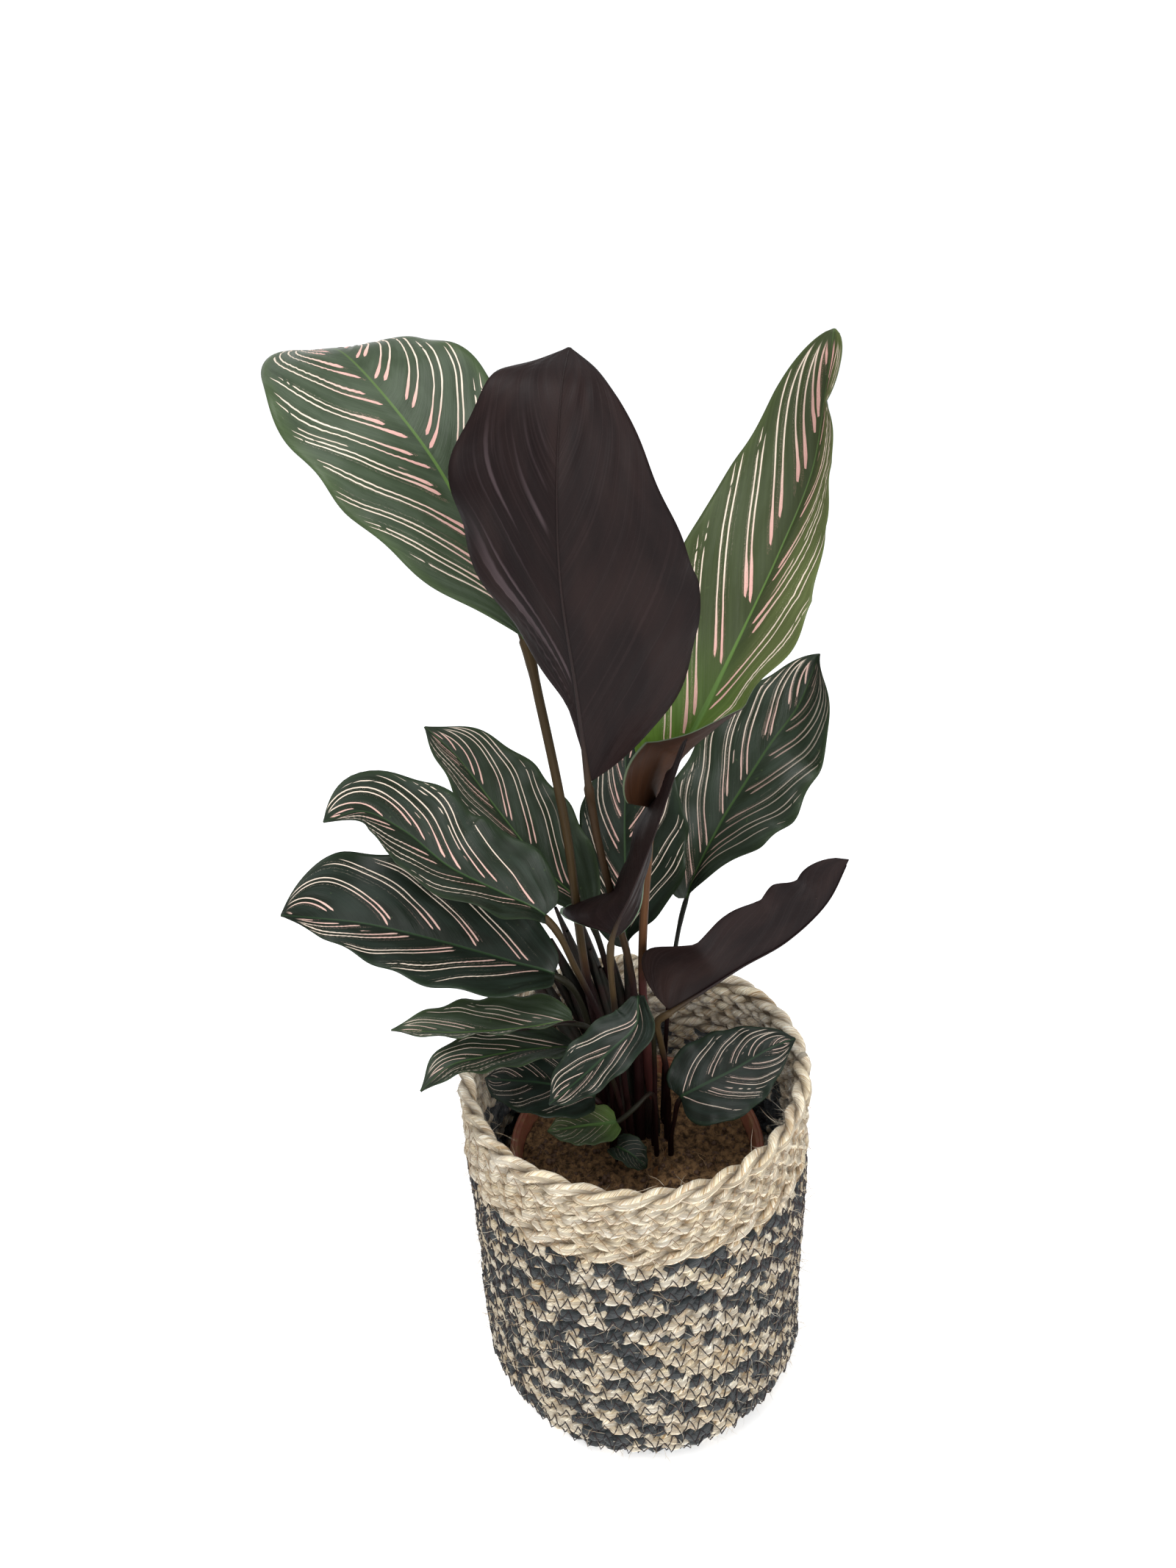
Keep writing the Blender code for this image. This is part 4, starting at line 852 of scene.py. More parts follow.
def leaf_lower():
    """The purple-brown underside, with lighter ribs, and on one half pale streaks of painted sheen."""
    g = Graph("leaf_lower")
    s, t, _, q = vein_place(g)
    pairs, seed, _ = g.attributes("look")
    reach = abs(t)
    vein = g.noise(g.vector(q * pairs * 5.0, reach * 2.0, seed), detail=3.0)
    cloud = g.noise(g.vector(s * 4.0, t * 3.0, seed), detail=2.0)
    colour = g.mix(cloud.smooth(0.3, 0.7), PURPLE_DARK, PURPLE)
    colour = g.mix(g.attribute("warm") * s.smooth(0.34, 0.04) * (cloud * 0.8 + 0.3), colour, RUST)
    lines = g.noise(g.vector(q * pairs * 14.0, reach, seed), detail=1.0).smooth(0.52, 0.72)
    colour = g.mix(lines * 0.14, colour, PURPLE_PALE)
    # Painted sheen: pale streaks along the veins of one half stand for the shine that half catches.
    streak = g.noise(g.vector(q * pairs * 2.4, reach * 0.8, seed + 3.0), detail=2.0).smooth(0.51, 0.64)
    satin = g.attribute("satin")
    half = t * satin.sign()
    streak = streak * half.smooth(0.06, 0.16) * half.smooth(0.95, 0.70) * s.smooth(0.86, 0.62)
    colour = g.mix(streak * abs(satin) * 0.8, colour, PAINTED_SHEEN)
    rim = g.attribute("rim")
    inner = s.smooth(0.5, 0.0) * (rim * -0.14 + 0.07) + 0.965
    edge = reach.smooth(inner, inner + 0.02) * rim
    colour = g.mix(edge, g.scaled(colour, vein * 0.6 + 0.70), EDGE_PALE)
    g.bump(vein * 0.8 + lines * 0.15, distance=0.00035, strength=0.45)
    gloss = vein * 0.20 + 0.46
    return g.finish(colour, gloss, Specular_IOR_Level=0.12)


def leaf_stalk():
    """Stalk, sheath and midrib, in each leaf's own colours."""
    g = Graph("leaf_stalk")
    along, share, inside = g.attributes("stalk")
    grain = g.noise(g.vector(share * 16.0, along * 30.0, inside), detail=3.0)
    mottle = g.noise(g.vector(share * 3.0, along * 60.0, inside), detail=2.0)
    colour = g.mix(inside, g.attribute("petiole", "Color"), g.attribute("sheath", "Color"))
    colour = g.scaled(colour, grain * 0.8 + mottle * 0.4 + 0.40)
    g.bump(grain, distance=0.0003, strength=0.6)
    return g.finish(colour, mottle * 0.2 + 0.42, Specular_IOR_Level=0.16)


def jute(name, dyed):
    """Loosely spun jute. Where it is dyed, charcoal lengths alternate with straw ones."""
    g = Graph(name)
    along, turn, strand = g.attributes("rope")
    helix = (turn + along * YARN_TURNS) * (2 * math.pi)
    across, upward = helix.cosine(), helix.sine()
    spun = g.vector(across * 4.0, upward * 4.0, along * 110.0 + strand * 5.0)
    fibre = g.noise(spun, detail=3.0, roughness=0.65)
    streak = g.noise(g.vector(across * 1.5, upward * 1.5, along * 50.0 + strand * 3.0), detail=1.0)
    patch = g.noise(g.vector(along * 14.0, strand * 3.1), detail=1.0)
    pale = g.mix(streak.smooth(0.34, 0.56), STRAW_SHADE, STRAW)
    pale = g.mix(patch.smooth(0.35, 0.65) * 0.35 + fibre.smooth(0.50, 0.64) * 0.65, pale, STRAW_LIGHT)
    pale = g.scaled(pale, fibre * 1.5 + 0.34)
    # Painted shade: the strands darken toward the crevices between them, where the plait's own shadow falls.
    crevice_shade = g.attribute("crevice_shade")
    pale = g.mix(crevice_shade * 0.70, pale, STRAW_SHADE)
    if dyed:
        dark = g.scaled(g.mix(streak, CHARCOAL, CHARCOAL_BLUE), fibre * 1.4 + 0.30)
        mask = (g.attribute("dye") + (fibre - 0.5) * 0.7).smooth(0.40, 0.60)
        pale = g.mix(mask, pale, dark)
    colour = g.scaled(pale, crevice_shade * -0.62 + 1.0)
    g.bump(fibre * 1.0 + streak * 1.0, distance=0.0016, strength=1.0)
    return g.finish(colour, fibre * 0.2 + 0.62, Specular_IOR_Level=0.28, Sheen_Weight=0.15)


def fibre_material(name, first, second):
    """Loose fibres and thread: two colours, mixed along each one."""
    g = Graph(name)
    shift = g.noise(g.place(), scale=90.0, detail=2.0)
    grain = g.noise(g.place(), scale=2500.0, detail=2.0)
    colour = g.mix(shift.smooth(0.3, 0.7), first, second)
    g.bump(grain, distance=0.0001, strength=0.5)
    return g.finish(g.scaled(colour, grain * 0.6 + 0.7), grain * 0.2 + 0.6, Specular_IOR_Level=0.3)


def coir():
    """Dark crumbly coir with rusty and straw-coloured bits."""
    g = Graph("coir")
    place = g.place()
    coarse = g.noise(place, scale=240.0, detail=5.0, roughness=0.65)
    fine = g.noise(place, scale=1500.0, detail=4.0, roughness=0.7)
    wet = g.noise(place, scale=45.0, detail=2.0)
    colour = g.mix(coarse.smooth(0.32, 0.68), COIR_DARK, COIR_BROWN)
    colour = g.mix(fine.smooth(0.52, 0.72) * coarse.smooth(0.4, 0.7), colour, COIR_RUST)
    colour = g.scaled(colour, wet * 1.1 + 0.45)
    g.bump(coarse * 0.7 + fine * 0.5, distance=0.0016, strength=1.0)
    return g.finish(colour, fine * 0.2 + 0.75, Specular_IOR_Level=0.2)


def pot_plastic():
    """Moulded terracotta-coloured plastic, dusty with soil."""
    g = Graph("pot_plastic")
    place = g.place()
    dust = g.noise(place, scale=120.0, detail=5.0, roughness=0.65)
    cloud = g.noise(place, scale=30.0, detail=2.0)
    colour = g.mix(cloud, POT_RED, POT_ORANGE)
    colour = g.mix(dust.smooth(0.48, 0.68) * 0.85, colour, COIR_BROWN)
    g.bump(dust, distance=0.0002, strength=0.4)
    return g.finish(colour, dust * 0.3 + 0.32, Specular_IOR_Level=0.45)


def film():
    """Thin clear film with faint milky creases."""
    g = Graph("liner_film")
    place = g.place()
    crease = g.noise(place, scale=55.0, detail=3.0, roughness=0.6)
    fine = g.noise(place, scale=210.0, detail=2.0)
    sharp = abs(crease - 0.5).smooth(0.030, 0.0)
    g.bump(crease * 0.8 + fine * 0.2 + sharp * 0.3, distance=0.003, strength=0.7)
    g.join(sharp * 0.08 + fine.smooth(0.62, 0.80) * 0.25 + 0.02, g.shader.inputs["Alpha"])
    colour = g.mix(sharp, FILM_GREY, FILM_MILK)
    return g.finish(colour, fine * 0.2 + 0.30, Specular_IOR_Level=0.3)


def pale_surface(name, glow):
    """A plain white surface that gives off a little light, so that shadows on it stay pale."""
    g = Graph(name)
    shade = g.noise(g.place(), scale=3.0, detail=3.0)
    g.shader.inputs["Emission Color"].default_value = (1.0, 1.0, 1.0, 1.0)
    return g.finish(g.mix(shade, FLOOR_WHITE, FLOOR_SHADE), 0.85, Emission_Strength=glow)


# Mesh helpers


@dataclass
class Patch:
    """Faces of one size over an array of points. Flat is each corner's place in a flat layout."""

    points: np.ndarray
    faces: np.ndarray
    flat: np.ndarray = None
    numbers: dict = field(default_factory=dict)


def mesh_of(name, points, face_sets, materials, numbers=None):
    """A smooth mesh object. Each face set is (faces, the material's index, the flat layout or None)."""
    mesh = bpy.data.meshes.new(name)
    mesh.vertices.add(len(points))
    mesh.vertices.foreach_set("co", np.asarray(points, np.float32).ravel())
    sizes = np.concatenate([np.full(len(faces), faces.shape[1]) for faces, _, _ in face_sets])
    corners = np.concatenate([faces.ravel() for faces, _, _ in face_sets])
    mesh.loops.add(len(corners))
    mesh.loops.foreach_set("vertex_index", corners.astype(np.int32))
    mesh.polygons.add(len(sizes))
    starts = np.concatenate([[0], np.cumsum(sizes)[:-1]])
    mesh.polygons.foreach_set("loop_start", starts.astype(np.int32))
    indices = np.concatenate([np.full(len(faces), index) for faces, index, _ in face_sets])
    mesh.polygons.foreach_set("material_index", indices.astype(np.int32))
    for key, values in (numbers or {}).items():
        values = np.asarray(values, np.float32)
        if values.ndim == 1:
            mesh.attributes.new(key, "FLOAT", "POINT").data.foreach_set("value", values)
        else:
            mesh.attributes.new(key, "FLOAT_VECTOR", "POINT").data.foreach_set("vector", values.ravel())
    if any(flat is not None for _, _, flat in face_sets):
        flats = [np.full((*faces.shape, 2), 0.998) if flat is None else flat for faces, _, flat in face_sets]
        layout = np.concatenate([flat.ravel() for flat in flats])
        mesh.uv_layers.new(name="OFBake").data.foreach_set("uv", layout.astype(np.float32))
    for item in materials:
        mesh.materials.append(item)
    mesh.update(calc_edges=True)
    mesh.shade_smooth()
    made = bpy.data.objects.new(name, mesh)
    bpy.context.scene.collection.objects.link(made)
    return made


def tube_faces(rings, around, closed=False):
    """Quads of a tube of rings, whose ends meet where it is closed."""
    ring = np.arange(rings if closed else rings - 1)[:, None]
    side = np.arange(around)[None, :]
    after, onward = (side + 1) % around, (ring + 1) % rings
    corners = [ring * around + side, ring * around + after, onward * around + after, onward * around + side]
    return np.stack(corners, -1).reshape(-1, 4)


def tube_flat(rings, around, closed=False):
    """For each corner of those quads, its share along the tube and its share round it."""
    count = rings if closed else rings - 1
    ring = np.arange(count)[:, None] / count
    side = np.arange(around)[None, :] / around
    onward, after = ring + 1 / count, side + 1 / around
    places = [(ring, side), (ring, after), (onward, after), (onward, side)]
    corners = [np.stack(np.broadcast_arrays(along, turn), -1) for along, turn in places]
    return np.stack(corners, -2).reshape(-1, 4, 2)


def tube_points(path, hint, radius, sides, closed=False, flat=1.0):
    """Rings of points round a path, squeezed by flat along the hinted direction."""
    if closed:
        tangent = unit(np.roll(path, -1, axis=0) - np.roll(path, 1, axis=0))
    else:
        tangent = tangents_of(path)
    first = unit(hint - tangent * np.sum(hint * tangent, 1, keepdims=True))
    second = np.cross(tangent, first)
    angle = round_angles(sides)
    across = first[:, None, :] * np.cos(angle)[None, :, None] * flat
    across = across + second[:, None, :] * np.sin(angle)[None, :, None]
    return path[:, None, :] + across * np.broadcast_to(radius, len(path))[:, None, None]


def rod(path, hint, radius, sides, closed=False, flat=1.0):
    """A plain tube as a patch of its own. One hint may serve the whole path."""
    rings = tube_points(path, np.broadcast_to(hint, path.shape), radius, sides, closed, flat)
    return Patch(rings.reshape(-1, 3), tube_faces(len(path), sides, closed))


def joined(parts):
    """One patch of several."""
    starts = np.cumsum([0] + [len(part.points) for part in parts[:-1]])
    faces = np.concatenate([part.faces + start for part, start in zip(parts, starts)])
    numbers = {key: np.concatenate([part.numbers[key] for part in parts]) for key in parts[0].numbers}
    flats = None if parts[0].flat is None else np.concatenate([part.flat for part in parts])
    return Patch(np.concatenate([part.points for part in parts]), faces, flats, numbers)


def piece_of(name, patch, finish, slot, *nodes):
    """A patch as a piece of the part, in one material, which stands for the named solids."""
    made = mesh_of(name, patch.points, [(patch.faces, 0, patch.flat)], [finish], patch.numbers)
    return on_root(made, slot, *nodes)


def on_root(piece, slot, *nodes):
    """Fixes a piece to the part and hides the solids that it stands for."""
    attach(piece, BODY)
    if nodes:
        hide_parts(*nodes)
    return piece


def face_outwards(piece):
    """Turns a closed mesh's faces to the outside and merges the points that lie on its axis."""
    shape = bmesh.new()
    shape.from_mesh(piece.data)
    bmesh.ops.remove_doubles(shape, verts=shape.verts, dist=0.000001)
    bmesh.ops.recalc_face_normals(shape, faces=shape.faces)
    shape.to_mesh(piece.data)
    shape.free()


def capped(name, rings, finish, order):
    """A closed solid of rings, whose first cap faces up in order 1 and down in order -1."""
    count, steps = rings.shape[:2]
    ring = np.arange(steps)
    caps = np.stack([ring[::order], ring[::-order] + (count - 1) * steps])
    sets = [(tube_faces(count, steps), 0, None), (caps, 0, None)]
    made = mesh_of(name, rings.reshape(-1, 3), sets, [finish])
    face_outwards(made)
    return made


# Fine leaves


def vein_run(look, t):
    """How far toward the tip a lateral vein has come at each t, and how steeply it still climbs."""
    rise, sweep = (np.where(t < 0, *halves) for halves in zip(*look.veins))
    reach = np.abs(t)
    return rise * reach + sweep * reach**2, rise + 2 * sweep * reach


def rib_relief(q, s, t, look):
    """Height of the pleats along the lateral veins, for each s and t."""
    reach = np.abs(t)[None, :]
    turn = 2 * np.pi * (q * look.pairs + SIDE_SHIFT * (t > 0)[None, :] + look.seed)
    fade = np.clip(reach / PLEAT_FADE, 0, 1) * np.clip((1 - reach) / PLEAT_FADE, 0, 1)
    ends = np.clip(s / PLEAT_START, 0, 1) * np.clip((1 - s) / PLEAT_END, 0, 1)
    height = np.cos(turn + 1.5 * np.sin(1.7 * turn)) + 0.25 * np.cos(2.3 * turn + 1.0)
    return RIB_HEIGHT * height * fade * ends[:, None]


def lengths_across(points, middle):
    """Signed distance of each point of a row from the midrib."""
    across = np.zeros(points.shape[:2])
    step = np.linalg.norm(np.diff(points, axis=1), axis=2)
    across[:, middle + 1 :] = np.cumsum(step[:, middle:], 1)
    across[:, :middle] = -np.cumsum(step[:, middle - 1 :: -1], 1)[:, ::-1]
    return across


def strip_of(flat, start, width):
    """A tube's corners, laid out as an upright strip of the flat layout."""
    return np.stack([start + width * flat[..., 1], 0.01 + 0.98 * flat[..., 0]], -1)


def make_leaf(name, leaf, materials):
    look = LOOKS[name]
    stalk, midrib = leaf_paths(leaf)
    length = lengths_along(midrib)[-1]
    even = np.linspace(0, 1, int(length / STATION_STEP))
    s = (1 - STATION_CROWDING) * even + STATION_CROWDING * (0.5 - 0.5 * np.cos(np.pi * even))
    half = (np.arange(BLADE_COLUMNS + 1) / BLADE_COLUMNS) ** COLUMN_CROWDING
    t = np.concatenate([-half[:0:-1], half])
    middle, normal, up, side = blade_surface(leaf, midrib, s, t)
    run, climb = vein_run(look, t)
    q = s[:, None] - run[None, :]
    middle = middle + normal * rib_relief(q, s, t, look)[..., None]
    across = lengths_across(middle, BLADE_COLUMNS)
    width = np.where(t[None, :] < 0, -across[:, :1], across[:, -1:])
    slope = climb[None, :] / np.maximum(width, 0.002)
    metric = 1 / np.sqrt(slope**2 + 1 / length**2)
    margin = np.clip((1 - np.abs(t)) / THIN_MARGIN, MARGIN_SHARE, 1)
    thin = BLADE_THICKNESS / 2 * margin[None, :, None]
    blade = np.concatenate([middle + normal * thin, (middle - normal * thin)[:, ::-1]], 1)
    rows, around = blade.shape[:2]
    faces, flat = tube_faces(rows, around), strip_of(tube_flat(rows, around), 0.01, 0.85)
    lower = faces[:, 0] % around >= around // 2 - 1
    ends = []
    for ring in (np.arange(around), np.arange(around) + (rows - 1) * around):
        top, bottom = ring[: around // 2], ring[around // 2 :][::-1]
        ends.append(np.stack([top[:-1], top[1:], bottom[1:], bottom[:-1]], -1))
    ends[0] = ends[0][:, ::-1]
    tube, tube_numbers, rib_share, ruddy = stalk_rings(leaf, stalk, midrib, s, side, up)
    count, first = len(tube) * STALK_SIDES, rows * around
    stalk_faces = tube_faces(len(tube), STALK_SIDES) + first
    stalk_flat = strip_of(tube_flat(len(tube), STALK_SIDES), 0.88, 0.11)
    ring = np.arange(STALK_SIDES)
    caps = np.stack([ring[::-1], ring + count - STALK_SIDES]) + first
    places = np.stack(np.broadcast_arrays(s[:, None], t[None, :], across), -1)
    show = np.broadcast_to(np.where(t < 0, *look.shows), q.shape)
    numbers = {"stalk": np.concatenate([np.zeros((first, 3)), tube_numbers])}
    on_blade = {"blade": (places, 0), "metric": (metric, 0.01), "vein": (q, 0), "show": (show, 0)}
    for key, (values, beyond) in on_blade.items():
        both_sides = np.concatenate([values, values[:, ::-1]], 1)
        both_sides = both_sides.reshape(first, *values.shape[2:])
        numbers[key] = np.concatenate([both_sides, np.full((count, *values.shape[2:]), beyond)])
    rib, ruddy = (np.concatenate([np.ones(first), share])[:, None] for share in (rib_share, ruddy))
    petiole = np.array(look.petiole) * (1 - ruddy) + np.array(ORANGE_BROWN) * ruddy
    numbers["petiole"] = petiole * (1 - rib) + np.array(PURPLE) * rib
    same = {"look": (look.pairs, look.seed, look.thickness), "sheath": look.sheath}
    same |= {key: getattr(look, key) for key in ("tone", "fresh", "warm", "rim", "satin", "club")}
    for key, value in same.items():
        numbers[key] = np.broadcast_to(np.asarray(value, float), (first + count, *np.shape(value)))
    sets = [
        (faces[~lower], 0, flat[~lower]),
        (faces[lower], 1, flat[lower]),
        (np.concatenate(ends), 1, None),
        (stalk_faces, 2, stalk_flat),
        (caps, 2, None),
    ]
    points = np.concatenate([blade.reshape(-1, 3), tube.reshape(-1, 3)])
    piece = mesh_of(name.replace("leaf_", "calathea_leaf_"), points, sets, materials, numbers)
    return on_root(piece, "leaf", name)


def stalk_rings(leaf, stalk, midrib, s, side, up):
    """Rings of the stalk, which runs on under the blade as its raised midrib, and what they carry."""
    reach, far = lengths_along(stalk)[-1], lengths_along(midrib)[-1]
    at = np.arange(0.0, reach, STALK_STEP)
    under = np.arange(0.0, far * RIB_END, STALK_STEP)
    share = under / far
    slim = RIB_BASE * np.exp(-share / RIB_FADE) + RIB_SHARE * (1 - share)
    slim = leaf.stalk_radius * slim + RIB_TIP_RADIUS
    sunk = (slim * RIB_SINK + BLADE_THICKNESS / 2)[:, None]
    rib = resampled(midrib, under) - unit(read_at(under, s * far, up)) * sunk
    beyond = at - (reach - PULVINUS_LENGTH)
    ease = np.clip(beyond / PULVINUS_LENGTH, 0, 1)[:, None] ** 2
    post = resampled(stalk, at) - unit(up[0]) * ease * sunk[0]
    sheath_radius, sheath_length = leaf.sheath
    end = ROOT_DEPTH + sheath_length
    body = leaf.stalk_radius * (1 + PULVINUS_SWELL * np.clip(beyond / PULVINUS_RISE, 0, 1))
    swell = sheath_radius - (sheath_radius - leaf.stalk_radius * SHEATH_END_SHARE) * np.clip(at / end, 0, 1)
    inside = np.clip((end - at) / SHEATH_LIP, 0, 1)
    path = np.concatenate([post, rib])
    thick = np.concatenate([body + (swell - body) * inside, slim])
    rings = tube_points(path, np.broadcast_to(side[0], path.shape), thick, STALK_SIDES)
    along = np.concatenate([at, reach + under])
    tinted = SHEATH_TINT_TOP - post[:, 2] if reach > TALL_STALK else end + SHEATH_TINT_RISE - at
    sheathed = np.concatenate([np.clip(tinted / SHEATH_TINT_FADE, 0, 1), 0 * under])
    turn = np.arange(STALK_SIDES) / STALK_SIDES
    numbers = np.stack(np.broadcast_arrays(along[:, None], turn[None, :], sheathed[:, None]), -1)
    rib_share = np.repeat(np.concatenate([0 * at, np.clip(under / (RIB_FADE * far), 0, 1)]), STALK_SIDES)
    ruddy = np.clip(1 - (at - end) / RUDDY_LENGTH, 0, 1) * (leaf.stalk_radius > RUDDY_FROM)
    ruddy = np.repeat(np.concatenate([ruddy, 0 * under]), STALK_SIDES)
    return rings, numbers.reshape(-1, 3), rib_share, ruddy


# Basket


def row_wobble(angle, row):
    """How far a row strays up and out from its even place. Neighbouring rows stray alike."""
    waves = [
        sum(size * np.sin(count * angle + drift * row + phase) for size, count, drift, phase in table)
        for table in (WOBBLE_UP, WOBBLE_OUT)
    ]
    return waves[0] * min(row, 3) / 3, waves[1]


def dye_of(angle, row, strand):
    """1 on the charcoal lengths of a row's strands and 0 on the straw ones, with soft ends."""
    along = (row + angle / (2 * np.pi)) * 2 * np.pi * row_radius(row)
    places = BASKET_RADIUS * outward_at(angle) + 1.3 * row_height(row) * UP
    made = np.empty(len(angle))
    for k, (where, place) in enumerate(zip(map(Vector, places), along)):
        drift = noise.noise(where * 22.0) * 0.45 + noise.noise(where * 80.0 + DYE_OFFSET) * 0.36
        drift += noise.noise(Vector((place * 190.0, strand * 7.3, row))) * 0.08
        step = (place / DYE_PERIOD + drift + 0.07 * strand) % 1.0
        made[k] = DYE_SHARE / 2 - abs(step - 0.5)
    return np.clip(0.5 + made * DYE_SHARPNESS, 0, 1)


def strand_of(centre, wide, deep, phase, plait):
    """Path of one strand, which sways across the row and passes over and under the others."""
    sway = plait.rise * np.sin(phase)
    rise = plait.depth * (np.cos(phase) if plait.ply == 2 else np.sin(2 * phase))
    return centre + wide * sway[:, None] + deep * rise[:, None]


@dataclass
class Plait:
    """How the strands of a row run. Lengths are in metres."""

    ply: int
    period: float
    rise: float
    depth: float
    radius: float
    flatness: float


WALL_PLAIT = Plait(3, 0.0370, 0.0024, 0.0019, 0.0033, 0.86)
BAND_PLAIT = Plait(3, 0.0400, 0.0027, 0.0021, 0.0031, 0.88)
ROPE_TWIST = Plait(2, 0.0400, 0.0025, 0.0025, 0.0031, 1.0)


def painted_crevice_shade(rings, centre, wide, deep):
    """Painted shade for each point of one strand's rings: 1 deep between the strands of a row, where the
    crevices lie in shadow, and 0 on its outside.
    """
    away = rings - centre[:, None, :]
    sideways = np.einsum("ijk,ik->ij", away, wide) / ROPE_RADIUS
    outward = np.einsum("ijk,ik->ij", away, deep) / ROPE_RADIUS
    return np.clip(1.5 - 1.7 * np.hypot(0.80 * sideways, outward), 0, 1)


def row_strands(row, radius, height, plait, flat_on_floor=False, dyed=True):
    """A patch for each strand of one closed row."""
    turns = max(2, round(2 * math.pi * radius / plait.period))
    steps = max(24, turns * STRAND_STEPS)
    angle = round_angles(steps)
    up, out = (0 * angle, 0 * angle) if flat_on_floor else row_wobble(angle, row)
    outward = outward_at(angle)
    upward = np.broadcast_to(UP, outward.shape)
    centre = outward * (radius + out)[:, None] + upward * (height + up)[:, None]
    wide, deep = (outward, -upward) if flat_on_floor else (upward, outward)
    rng = np.random.default_rng(1000 + row + 100 * flat_on_floor)
    turn = np.arange(STRAND_SIDES) / STRAND_SIDES
    faces, flat = (make(steps, STRAND_SIDES, closed=True) for make in (tube_faces, tube_flat))
    made = []
    for strand in range(plait.ply):
        phase = turns * angle + 2 * np.pi * strand / plait.ply + 1.7 * row
        waves = sum(
            rng.uniform(0.5, 1.0) * np.sin(k * angle + rng.uniform(0, 2 * np.pi))
            for k in rng.integers(turns // 2, turns * 3, 6)
        )
        path = strand_of(centre, wide, deep, phase + STRAND_SLIP * waves, plait)
        path = path + wide * (STRAND_STRAY * np.roll(waves, 17))[:, None]
        thick = plait.radius * (1 + STRAND_UNEVENNESS * waves)
        rings = tube_points(path, deep, thick, STRAND_SIDES, closed=True, flat=plait.flatness)
        rings[..., 2] = np.maximum(rings[..., 2], FLOOR_GAP)
        dye = dye_of(angle, row, strand) if dyed else 0 * angle
        rope = np.broadcast_arrays((angle * radius)[:, None], turn[None, :], row * 3.0 + strand)
        numbers = {
            "rope": np.stack(rope, -1).reshape(-1, 3),
            "dye": np.repeat(dye, STRAND_SIDES),
            "crevice_shade": painted_crevice_shade(rings, centre, wide, deep).ravel(),
        }
        made.append(Patch(rings.reshape(-1, 3), faces, flat, numbers))
    return made


def laid_out(parts):
    """Gives each strand its own strip of the flat layout, one above the other."""
    for index, part in enumerate(parts):
        high = (index + 0.04 + 0.92 * part.flat[..., 1]) / len(parts)
        part.flat = np.stack([0.005 + 0.99 * part.flat[..., 0], high], -1)
    return parts


def plait_of(row):
    """The wall's plait or the band's, whose first and last rows are twisted rope."""
    if row < FIRST_BAND_ROW:
        return WALL_PLAIT
    return ROPE_TWIST if row in (FIRST_BAND_ROW, ROW_COUNT - 1) else BAND_PLAIT


def wall_core():
    """A thin closed shell in the middle of the rows, which shows only in the dark of their gaps. Its darkened
    jute colours are painted shade.
    """
    angle = round_angles(CORE_STEPS)
    rings = []
    for side, rows in ((-CORE_HALF, range(ROW_COUNT - 1, -1, -1)), (CORE_HALF, range(ROW_COUNT))):
        for row in rows:
            out = row_wobble(angle, row)[1] + row_radius(row) + side
            rings.append(out[:, None] * outward_at(angle) + row_height(row) * UP)
    material = fibre_material("rope_core_shade", CORE_DEEP_SHADE, CORE_SHADE)
    shell = Patch(np.concatenate(rings), tube_faces(2 * ROW_COUNT, CORE_STEPS, closed=True))
    return piece_of("basket_wall_core", shell, material, "jute_natural")


def make_basket():
    """Rows of plaited jute up the wall, an undyed band of bolder ones, and a base coiled flat."""
    natural, dyed = jute("jute_natural", False), jute("jute_dyed", True)
    middle = FIRST_BAND_ROW // 2
    made = []
    for name, rows, finish, slot, node in (
        ("basket_wall_low", range(middle), dyed, "jute_dyed", "basket_wall"),
        ("basket_wall_high", range(middle, FIRST_BAND_ROW), dyed, "jute_dyed", "basket_wall"),
        ("basket_band_rows", range(FIRST_BAND_ROW, ROW_COUNT), natural, "jute_natural", "basket_band"),
    ):
        strands = []
        for row in rows:
            strands += row_strands(row, row_radius(row), row_height(row), plait_of(row), dyed=finish == dyed)
        made.append(piece_of(name, joined(laid_out(strands)), finish, slot, node))
    strands = []
    for ring in range(BASE_RINGS):
        radius = (ring + 0.5) * BASE_EDGE / BASE_RINGS
        strands += row_strands(ring, radius, ROPE_RADIUS, WALL_PLAIT, flat_on_floor=True)
    made.append(piece_of("basket_base_coil", joined(laid_out(strands)), dyed, "jute_dyed", "basket_base"))
    wall_core()
    return made


def surface_finder(pieces):
    """A function that gives the outermost point of the pieces at an angle and a height."""
    graph = bpy.context.evaluated_depsgraph_get()
    trees = [BVHTree.FromObject(piece, graph) for piece in pieces]
    outside = BASKET_RADIUS + FINDER_REACH

    def find(angle, height):
        inward = Vector((-math.cos(angle), -math.sin(angle), 0.0))
        start = -inward * outside + Vector((0, 0, height))
        hits = [tree.ray_cast(start, inward, 0.05)[3] for tree in trees]
        near = [hit for hit in hits if hit is not None]
        return outside - min(near) if near else ROW_RADIUS

    return find


